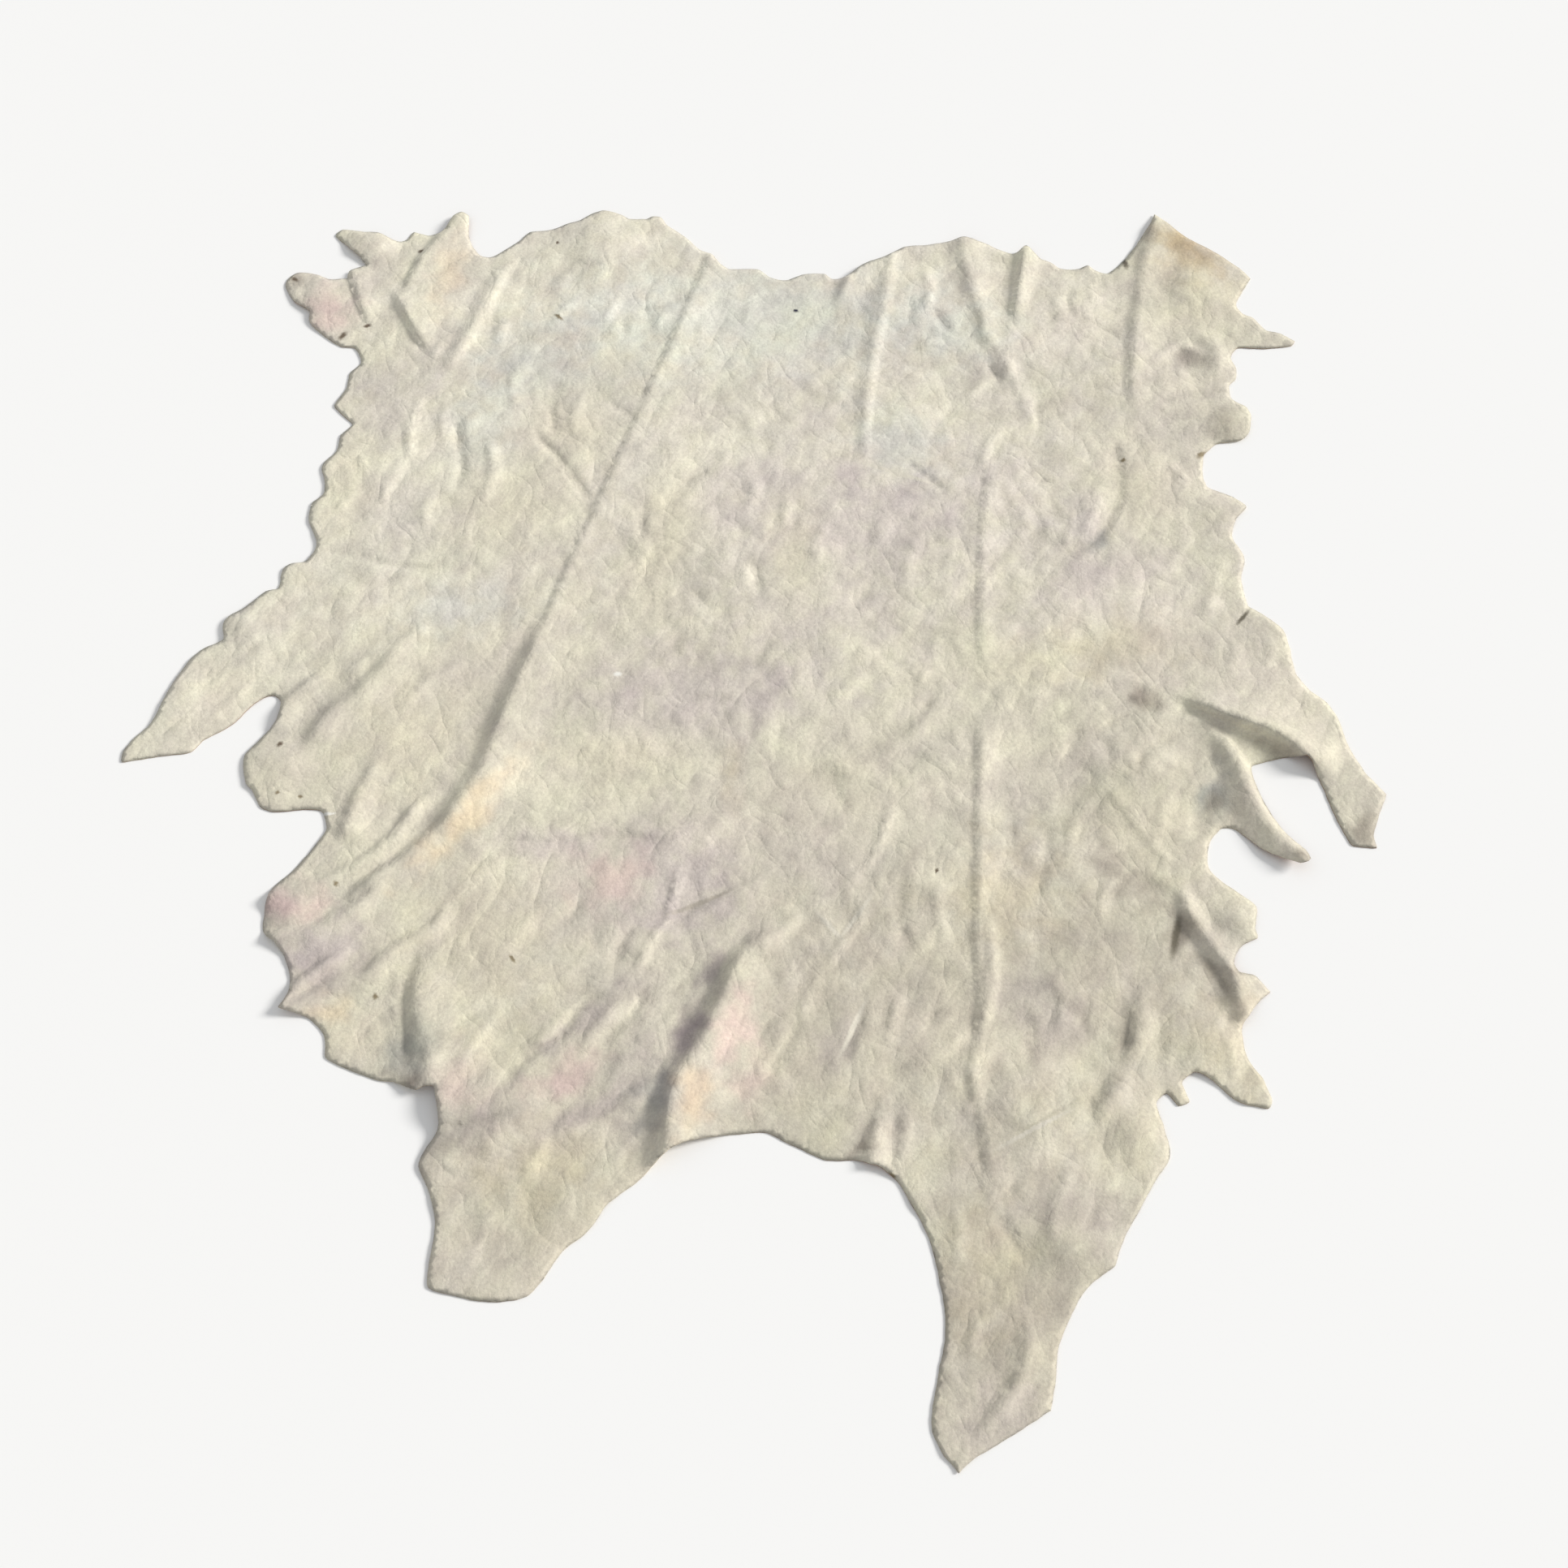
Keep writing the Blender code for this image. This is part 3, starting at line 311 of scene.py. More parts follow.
# Small folds and creases, each walked from its low end to its high one. Columns: points of the line, height
# in millimetres, below 0 for a groove, and the run to its left and to its right in centimetres.
NECK_WRINKLES = (
    (((-57.5, 77), (-56.4, 81), (-53.2, 85)), 3, 1.2, 2),
    (((-39.3, 93.6), (-36.1, 98.3), (-31.4, 103)), -2.6, 2.2, 1.2),
    (((-34.6, 93), (-33, 97), (-31, 100.6)), -1.8, 1.8, 1),
    (((-48.7, 81), (-47.1, 86), (-46.5, 91)), -2.2, 1.4, 1.8),
    (((-46.2, 80), (-45.4, 84.5), (-44, 88.5)), 2.4, 1.2, 1.6),
    (((-22.8, 92), (-21.2, 90.4), (-17.3, 90.8), (-11.8, 93.8)), -3, 1, 2),
    (((-22.4, 82.6), (-23.4, 86), (-22.8, 89.4)), -2.4, 1.6, 1.2),
    (((-18, 84.5), (-16.8, 88), (-15, 90)), 3, 1.6, 1.8),
    (((-29.4, 86.4), (-26, 89.5), (-25.2, 94)), 2.4, 1.4, 2.4),
    (((-36, 86), (-34.6, 90), (-31, 92.6)), 2.6, 1.2, 2),
    (((-9.8, 80), (-9.4, 86), (-7, 91)), 1.8, 1.4, 2.6),
    (((-2, 84), (-1, 91), (0.5, 97.5)), 1.6, 2, 3),
    (((26.8, 84), (28, 89.5), (27.6, 95)), -2.4, 1.6, 2),
    (((35.4, 83.4), (33.8, 87.3), (31.4, 91.2)), -3.6, 1.8, 1.2),
    (((30.6, 88.5), (31.6, 95), (30.8, 101)), 3.2, 1.8, 2.2),
    (((28.6, 79.6), (30.2, 81.8), (32, 82.6), (35, 81.4)), 3.4, 1, 1.6),
    (((44.8, 73.4), (44, 79.4), (41.4, 85.7)), 2.8, 2.4, 3),
    (((43.4, 71), (42.8, 74.7), (40.4, 79.6)), -3.2, 1.6, 1),
    (((49.1, 62), (47.1, 70), (45.2, 76.3), (45.2, 81), (46.6, 88)), 2.4, 2, 2.6),
    (((36.6, 68), (39.4, 72), (42.6, 74)), 2.8, 1.6, 1.6),
    (((50.2, 61.5), (49.4, 66.5), (50.6, 71.5)), -2.4, 1.2, 1.4),
    (((38.6, 52), (40.9, 59.8), (44.4, 64.4)), 2.8, 1.6, 1.8),
    (((33.8, 48), (29.9, 51.9), (25.4, 56.4)), -2.4, 1, 1.4),
    (((30, 58), (32.4, 64), (36.6, 68.6)), -2, 2, 1.6),
    (((62.1, 89.6), (61, 94), (61.6, 98.4)), 3, 1.6, 1.8),
    (((54, 84), (54.8, 89), (53.4, 95)), 1.8, 1.6, 2.4),
    (((58.2, 86), (56.4, 91), (57.2, 97)), -2, 1.6, 1.6),
)
RIGHT_SHOULDER_WRINKLES = (
    (((68.6, 76), (73.1, 80.2), (76.8, 83)), 3.4, 1.4, 2),
    (((81.7, 78.4), (77.6, 81), (74.6, 83.6)), 3, 2, 1.6),
    (((70.2, 68), (75.4, 70.2), (80, 70.8), (83.4, 72.2)), -3.6, 1.4, 1.6),
    (((72.6, 62.4), (71.2, 65.6), (71, 68.6)), -2.4, 1.2, 1.4),
    (((74.8, 49), (73.1, 52.7), (70.4, 57)), 2.6, 1.4, 1.8),
    (((48.5, 32.2), (54.6, 36.2), (58.6, 39.4), (60.8, 43.3), (62.6, 48), (63.2, 54.3), (62.4, 60.8)),
     -4.2, 3.4, 1),
    (((54, 38.5), (57.6, 43.6), (58.8, 51)), 3.8, 4, 2.6),
    (((51, 36), (53.4, 40.5), (54, 45.4)), 2, 2, 2),
    (((46.6, 50.2), (49, 51.2), (52, 51.2)), -2.2, 1, 1.2),
    (((56.6, 54.4), (58.2, 56.8), (58.4, 59.2)), -1.6, 1, 1),
    (((77, 39.2), (79, 40.2), (81, 40)), -3, 0.8, 1),
    (((79.4, 20.5), (81.2, 22.6), (83, 24.2)), -5.5, 0.8, 1.2),
    (((74, 22), (77, 30), (78.6, 37)), 2.2, 2, 2.4),
    (((68, 30), (72, 37), (73.6, 44)), 1.8, 2.4, 2.4),
    (((76.2, 10.8), (78.6, 15), (79.4, 19.6)), 2.6, 1.6, 2.4),
    (((84.6, 10), (84.4, 15), (85.4, 20)), 2.2, 1.6, 1.6),
    (((62.4, 7.4), (62.8, 9), (63.6, 10.8)), -4, 1.6, 1.6),
    (((54.5, 0), (57, 2.2), (60, 4), (63, 5.4)), -3, 1.2, 1.6),
    (((66, 2.6), (70, 3.6), (74.6, 3)), 2.6, 1.2, 1.8),
    (((60.5, -8), (62, -3), (66, -0.6), (71, 1.4)), -2.8, 1.6, 1.6),
)
LEFT_WRINKLES = (
    (((-27.5, 46), (-31.4, 52.7), (-34.6, 57.4), (-38.9, 62.1)), -4, 1, 1.8),
    (((-20, 65), (-23.6, 66.9), (-27, 71)), -2.4, 1, 1.4),
    (((-34.2, 59.8), (-35.4, 66.9), (-34.6, 74.5)), -3, 1.8, 1.6),
    (((-31, 60), (-31.4, 66), (-29, 71.6)), 2.6, 1.8, 3),
    (((-14.6, 49.4), (-10, 52.2), (-6.4, 54.2)), -2.6, 1, 1.2),
    (((-18.4, 38), (-19, 43), (-17.6, 48)), -2, 1.4, 1.6),
    (((-52, 48.6), (-50.2, 52.7), (-50.8, 58.2), (-52.2, 66.6)), -3.2, 1.8, 1.8),
    (((-47.4, 45.4), (-45, 51), (-44.8, 55.9), (-46.4, 61)), 3, 1.8, 2.2),
    (((-58.9, 55), (-59.8, 62.1), (-58, 71)), 2.8, 1.6, 2.2),
    (((-63.6, 44), (-62.6, 50), (-60.8, 56)), 2, 1.6, 2),
    (((-55, 40), (-55.8, 45), (-54.2, 50)), 2.2, 1.8, 2),
    (((-66.4, 51.6), (-67.4, 55), (-68, 59)), 2.6, 1.2, 1.4),
    (((-71.6, 42.4), (-69.6, 46.6), (-67.4, 49.6)), 2.4, 1.2, 1.6),
    (((-73.6, 37.2), (-66.6, 35.8), (-59.7, 33.6), (-53, 33.4)), -2.8, 1.4, 1.2),
    (((-70.6, 28), (-62, 28.6), (-54, 30.4)), 1.8, 2, 1.6),
    (((-66.2, 10.2), (-62.9, 14.6), (-59, 17), (-55.6, 19.8), (-51.6, 21.8)), 3.6, 1.8, 3),
    (((-84.8, 18), (-83.4, 22.6), (-81.4, 25.4)), 2.6, 1.2, 1.8),
    (((-84.4, 14.6), (-81.4, 17.2), (-78.8, 18.4)), -2.4, 1.4, 1.2),
    (((-88.4, 2), (-84, 6.4), (-80.4, 12)), 2.4, 1.8, 2.2),
    (((-89.4, -2.4), (-87.2, 0.6), (-85.8, 4.2)), -3.2, 1.2, 1.4),
    (((-57, 4.4), (-52, 10.6), (-46, 14.6)), 2.4, 2.2, 3),
    (((-66.8, -14.6), (-64.8, -13.8), (-62.4, -13.6)), -3.6, 0.9, 1),
    (((-53.4, 58), (-54.4, 64), (-53.4, 70)), 1.8, 1.6, 1.8),
    (((-41, 66), (-42.6, 72), (-40.8, 79)), 1.8, 2, 2.6),
    (((-69.2, -42.8), (-66.4, -40.8), (-63.6, -39)), -3.2, 1.4, 1.4),
    (((-50.4, -57.6), (-50.8, -50.3), (-51.4, -44), (-50, -37)), -3.6, 1.8, 1.8),
    (((-46, -50.6), (-42.6, -49.4), (-39.2, -47.2)), -3.6, 1.4, 1.6),
    (((-42.4, -58.6), (-40.6, -53), (-37.4, -47.4)), 2.4, 1.8, 2.6),
    (((-45.6, -65.4), (-39.6, -65), (-33.6, -62.6)), -3.4, 2, 1.6),
    (((-46.4, -71.6), (-41.6, -73.4), (-36.6, -72.4)), -2.4, 1.6, 1.8),
)
RUMP_WRINKLES = (
    (((-17.8, -43), (-16.4, -39.4), (-14.6, -35.4), (-12.5, -32), (-11, -25), (-9.5, -21.5)),
     3.2, 0.9, 1.3),
    (((-12.4, -32.6), (-9.1, -31), (-6.3, -29.3), (-3.1, -27.2)), -5.5, 0.9, 0.9),
    (((-33.4, -54.4), (-30, -50.8), (-27.8, -48.2), (-24.6, -45.4)), 2.8, 0.9, 1.3),
    (((0.3, -52.6), (2.4, -50), (6, -47.2)), -3, 1.2, 1.2),
    (((-20.6, -41), (-18.9, -35.6), (-16, -32.6)), -3.2, 1.6, 1.2),
    (((-31.8, -34.8), (-28.3, -33), (-24.8, -28.6)), -2.6, 1.6, 1.4),
    (((-41.2, -20), (-37.7, -18.4), (-31.4, -18.8), (-24, -17.6), (-13, -18.6)), -2, 1.2, 2.2),
    (((-36.4, -61), (-33.8, -56.6), (-30.6, -53.4), (-27.5, -50.9), (-25, -47), (-20.8, -43.6)),
     -3.2, 1.8, 1.4),
    (((-32.2, -55.4), (-29.6, -51.6), (-26.4, -48.6)), 2.6, 1, 1.2),
    (((-25.6, -56), (-22, -49.6), (-18.4, -45.4)), 2.8, 1.4, 1.6),
    (((-22.4, -53.6), (-17.2, -47.4), (-14.6, -41.8)), -2.8, 1.4, 1.4),
    (((-29.6, -44.6), (-26.2, -40.4), (-23.4, -36.4)), 2.2, 1.4, 1.6),
    (((-27, -66.4), (-23.6, -62.4), (-18.1, -60.8)), -2.6, 1.4, 1.4),
    (((-21, -74), (-17.6, -69), (-13.4, -64.6)), 2.6, 1.6, 1.8),
    (((-33, -76.4), (-30.2, -70.6), (-29, -66)), 2.2, 1.6, 2),
    (((-39.6, -88), (-37.2, -82), (-36.6, -76)), 2, 1.8, 2.4),
    (((-38, -40), (-35.4, -35), (-31.6, -30.4)), 1.8, 1.8, 2.2),
    (((-46.4, -30), (-43, -25.8), (-38.6, -22.6)), 1.6, 1.8, 2.4),
    (((-12, -24), (-7, -19), (-3, -12)), 1.6, 2, 2.4),
    (((1.4, 25), (0.6, 31), (-1.4, 37.4)), -2, 1.6, 1.6),
    (((6, 40), (5.4, 45), (7.6, 49)), 2.6, 1.6, 1.8),
    (((10.4, 33), (11, 39), (13.8, 44)), 2.4, 1.8, 2),
    (((-2, 43), (0, 48.6), (-0.6, 54)), 2, 1.6, 2),
    (((14, 22), (17.8, 26.6), (21, 33)), -1.8, 1.6, 1.8),
    (((25.6, 28.6), (26.2, 35), (28.6, 41.6)), 1.8, 1.8, 2),
    (((26, 9.6), (28.6, 12.4), (30.6, 11)), 3.6, 0.8, 0.9),
    (((14, -5.6), (20.4, -2.2), (26, 3.2), (30, 8.8)), -4.4, 2, 1.8),
    (((12.4, 4), (15.2, 9), (20, 13)), 2.2, 1.6, 2.2),
)
LOIN_WRINKLES = (
    (((0, -39.6), (3.4, -35.6), (8, -31.4)), 2.8, 1.4, 1.8),
    (((14, -28.6), (16, -25.2), (19, -21.4), (22.6, -11)), 2.6, 1.1, 1.3),
    (((10.8, -41.8), (12.6, -38.6), (15.5, -34), (18.4, -29.4)), 3, 1, 1.4),
    (((14.2, -36), (12, -33), (9.6, -30)), 2.4, 0.9, 1.2),
    (((25.2, -38.4), (23.4, -35), (22.8, -29.6), (24, -23)), -2.2, 1.8, 1.8),
    (((29.6, -36.4), (28.6, -30.6), (29.4, -24.6)), 2.6, 1.6, 1.6),
    (((13, -57), (15.7, -51.1), (17.6, -45)), -3.2, 2, 1.8),
    (((20, -54.6), (21.4, -48.6), (23, -43.4)), 2.8, 1.8, 1.8),
    (((26, -51.4), (27.2, -48.6), (29.6, -46.4)), -3, 1.6, 1.4),
    (((22, -56.8), (27.5, -54.4), (33.2, -50.6)), 3, 1.6, 2),
    (((6, -50.4), (9.6, -44), (11.4, -38.6)), 2, 1.6, 1.6),
    (((2.6, -59.4), (5.4, -53), (8.4, -48)), -2, 1.6, 1.8),
    (((14.4, -69.4), (17.4, -66), (18.8, -60)), -4, 2.2, 1.2),
    (((20.6, -73.2), (22.6, -68), (22.6, -61.6)), 2.6, 1.4, 2.2),
    (((33.8, -51.8), (36, -44), (36.4, -31)), 3, 1.2, 1.8),
    (((31, -66), (32.8, -60.6), (32, -54.4)), 2, 1.4, 1.4),
    (((37, -67.8), (44, -63.6), (50.4, -60.4)), -2.2, 1, 1),
    (((34.4, -77.4), (37, -75.6), (39.6, -72.6)), -3, 1.2, 1),
    (((40.8, -87.4), (37.7, -83.3), (35.2, -78.2)), -3.2, 1.6, 1.4),
    (((42.4, -84), (44, -77), (47.4, -71)), 2.4, 1.8, 2.2),
    (((46, -82.8), (48.6, -79.6), (50, -75)), -2.6, 1.8, 1.8),
    (((27.4, -110), (29.9, -108.2), (33.8, -104.3), (37.9, -100.2)), -3.4, 1.8, 1.6),
    (((29.6, -100), (32, -95), (34.6, -91.6)), 2.6, 1.6, 2),
    (((28.6, -88), (29.8, -82), (29.4, -76)), 2, 1.8, 2.4),
    (((51, -44.4), (49.6, -49), (51, -54.2)), -1.6, 1.2, 1.6),
    (((54, -55.6), (56.2, -51.6), (56.8, -46.6)), -4, 1.6, 1.2),
    (((47.8, -64.6), (50.4, -61.2), (53.8, -57.2)), -4.2, 2, 1.8),
    (((45, -52.4), (46.6, -47), (45.6, -41)), 2.4, 1.6, 1.8),
    (((40.4, -57.6), (41.6, -51.4), (40.6, -45.4)), -1.8, 1.6, 1.8),
)
BELLY_WRINKLES = (
    (((65.4, -24.6), (62.6, -19.4), (58, -12), (55, -6.3)), 1.8, 1.6, 1.8),
    (((66.2, -29), (63, -27.6), (59.6, -24.4)), -3, 1.8, 1.6),
    (((63, -40.6), (64.6, -36), (66.4, -30.6)), -8, 1.4, 0.9),
    (((72.4, -46.4), (70.7, -41.8), (68.2, -37.4)), -5, 1.4, 1.2),
    (((69.6, -20.4), (70.6, -15.7), (74.4, -9)), -4, 2.6, 1.6),
    (((48.6, -22), (50.8, -15), (54.4, -9.6)), 2.4, 1.8, 1.8),
    (((43, -30), (45.6, -23), (46, -15)), -2.2, 1.8, 1.8),
    (((52.4, -34.4), (54.2, -28.4), (57.8, -23.6)), 2.2, 1.6, 1.8),
    (((44.4, 2), (46.8, 9), (50.6, 14)), 1.8, 2, 2.2),
    (((48.2, -6.4), (51, -1.2), (53.4, 4.4)), -2, 1.6, 1.8),
    (((62, -20.4), (64.4, -14.4), (65.6, -8.2)), 2, 1.8, 2),
    (((68, -52), (70.6, -47.8), (73.8, -45.2)), 2.4, 1.4, 1.4),
    (((70.8, -60), (71.2, -54.8), (70, -50)), 2.2, 1.6, 1.6),
    (((61, -58.4), (62, -53.8), (64.8, -50.2)), 2.2, 1.4, 1.6),
)
WRINKLES = (NECK_WRINKLES + RIGHT_SHOULDER_WRINKLES + LEFT_WRINKLES + RUMP_WRINKLES + LOIN_WRINKLES
            + BELLY_WRINKLES)

# How crisp the crests are, from 0 for a wave to 1, and the factor of all the small folds' heights
STEEP_CRISPNESS = 0.8
GENTLE_CRISPNESS = 0.5
WRINKLE_CRISPNESS = 0.6
GROOVE_CRISPNESS = 0.65
WRINKLE_STRENGTH = 1.55

# The length over which a line dies away, in centimetres, and the largest share of the line it may take up
FOLD_FADE = 7.0
WRINKLE_FADE = 4.0
MOST_FADE = 0.5

# A fold that dies at one end fans out towards the other, where the hide's edge is. These are the
# factors of its runs where it dies and where it is open, and of its height where it dies.
NARROW_RUN = 0.55
WIDE_RUN = 1.3
LOW_END = 0.7

# How far the leather stands off the floor inside and at its edge, how far in from the edge that
# changes, and how softly it comes to lie on the floor, all in metres
LIFT = 0.005
EDGE_LIFT = 0.0005
EDGE_REACH = 0.2
FLOOR_SOFTNESS = 0.0012

# The cut edge: how far it bulges, in metres, how high its two rings of points lie as shares of its
# thickness, and the share of the thickness that is pressed away, and over what distance
RIM_BULGE = 0.0005
LOWER_RING = 0.3
UPPER_RING = 0.78
EDGE_THINNING = 0.5
THINNING_REACH = 0.012

# How ragged the cut edge is. Columns: height in millimetres, size in metres, seed.
EDGE_RAGS = ((0.9, 0.021, 21), (0.5, 0.009, 22))

# The lying leather's own unevenness: gentle waves, then pillows with pinched creases between them, then
# streaks. Columns: height in millimetres, the heading and how long the pattern is drawn out along it,
# size in metres, and seed.
WAVES = ((2.4, 0, 1.0, 0.21, 1), (1.8, 50, 1.4, 0.10, 2))
PILLOWS = ((2.4, 52, 1.4, 0.058, 3), (1.6, 118, 1.5, 0.047, 6), (1.0, 80, 1.3, 0.029, 4))
STREAKS = ((0.9, 55, 2.8, 0.022, 5),)
PILLOW_MEAN = 0.3

# How far the pillows' and streaks' pattern is bent, and the size of the bends, in metres
BEND = 0.02
BEND_SIZE = 0.13
BEND_SEEDS = (11, 12)

# The factor of the pillows' height: its mean, how far it strays, the size of the patches in metres and
# their seed, then how much it grows around a place, and how far from there
PILLOW_FACTOR = 0.78
PILLOW_STRAY = 0.55
PILLOW_PATCH = 0.24
PILLOW_SEED = 13
PILLOW_GROWTH = 0.7
PILLOW_CENTRE = (0.3, 0.2)
PILLOW_REACH = 0.9

# Where the streaks are, and how far they reach, in metres
STREAK_CENTRE = (-0.15, -0.45)
STREAK_REACH = 0.6

# The noise: the width that its grid of cells covers, in metres, the cells to spare, and its factor
NOISE_WIDTH = 3.2
NOISE_SPARE = 4
NOISE_GAIN = 1.5

# The camera stands where the photo was taken from, and the light falls from the right. Metres, the lens in
# millimetres, angles in degrees.
CAMERA_PLACE = (0.0519, -1.8036, 2.9781)
CAMERA_LENS = 50
CAMERA_SENSOR = 36
WORLD_TONE = (0.97, 0.985, 1.0, 1.0)
WORLD_STRENGTH = 0.55
KEY_TONE = (1.0, 0.975, 0.94)
KEY_STRENGTH = 3.3
KEY_SPREAD = 18
KEY_HEADING = 14
KEY_ELEVATION = 27
FLOOR_TONE = (0.92, 0.92, 0.915, 1.0)
FLOOR_SIZE = 40
FLOOR_GAP = 0.0002

# The tones of the leather, its stains and its painted shade, as seen, from 0 to 255
TONES = {
    "base": (214, 208, 190),
    "cream": (223, 218, 202),
    "mauve cream": (220, 213, 200),
    "grey": (211, 204, 190),
    "mauve grey": (206, 197, 186),
    "olive cream": (217, 210, 187),
    "olive": (203, 196, 177),
    "dark olive": (193, 186, 168),
    "green grey": (213, 216, 206),
    "pale blue": (221, 223, 215),
    "yellow": (221, 214, 189),
    "ochre": (210, 199, 171),
    "lilac": (203, 193, 187),
    "deep lilac": (187, 178, 170),
    "pink": (217, 195, 186),
    "orange": (228, 210, 181),
    "tan": (190, 171, 137),
    # Painted shade for folds, creases and hollows; shade and deep shade also colour a few darker patches
    "shade": (170, 162, 149),
    "deep shade": (147, 138, 125),
    "cold shade": (158, 158, 152),
    "plum shade": (152, 142, 141),
}
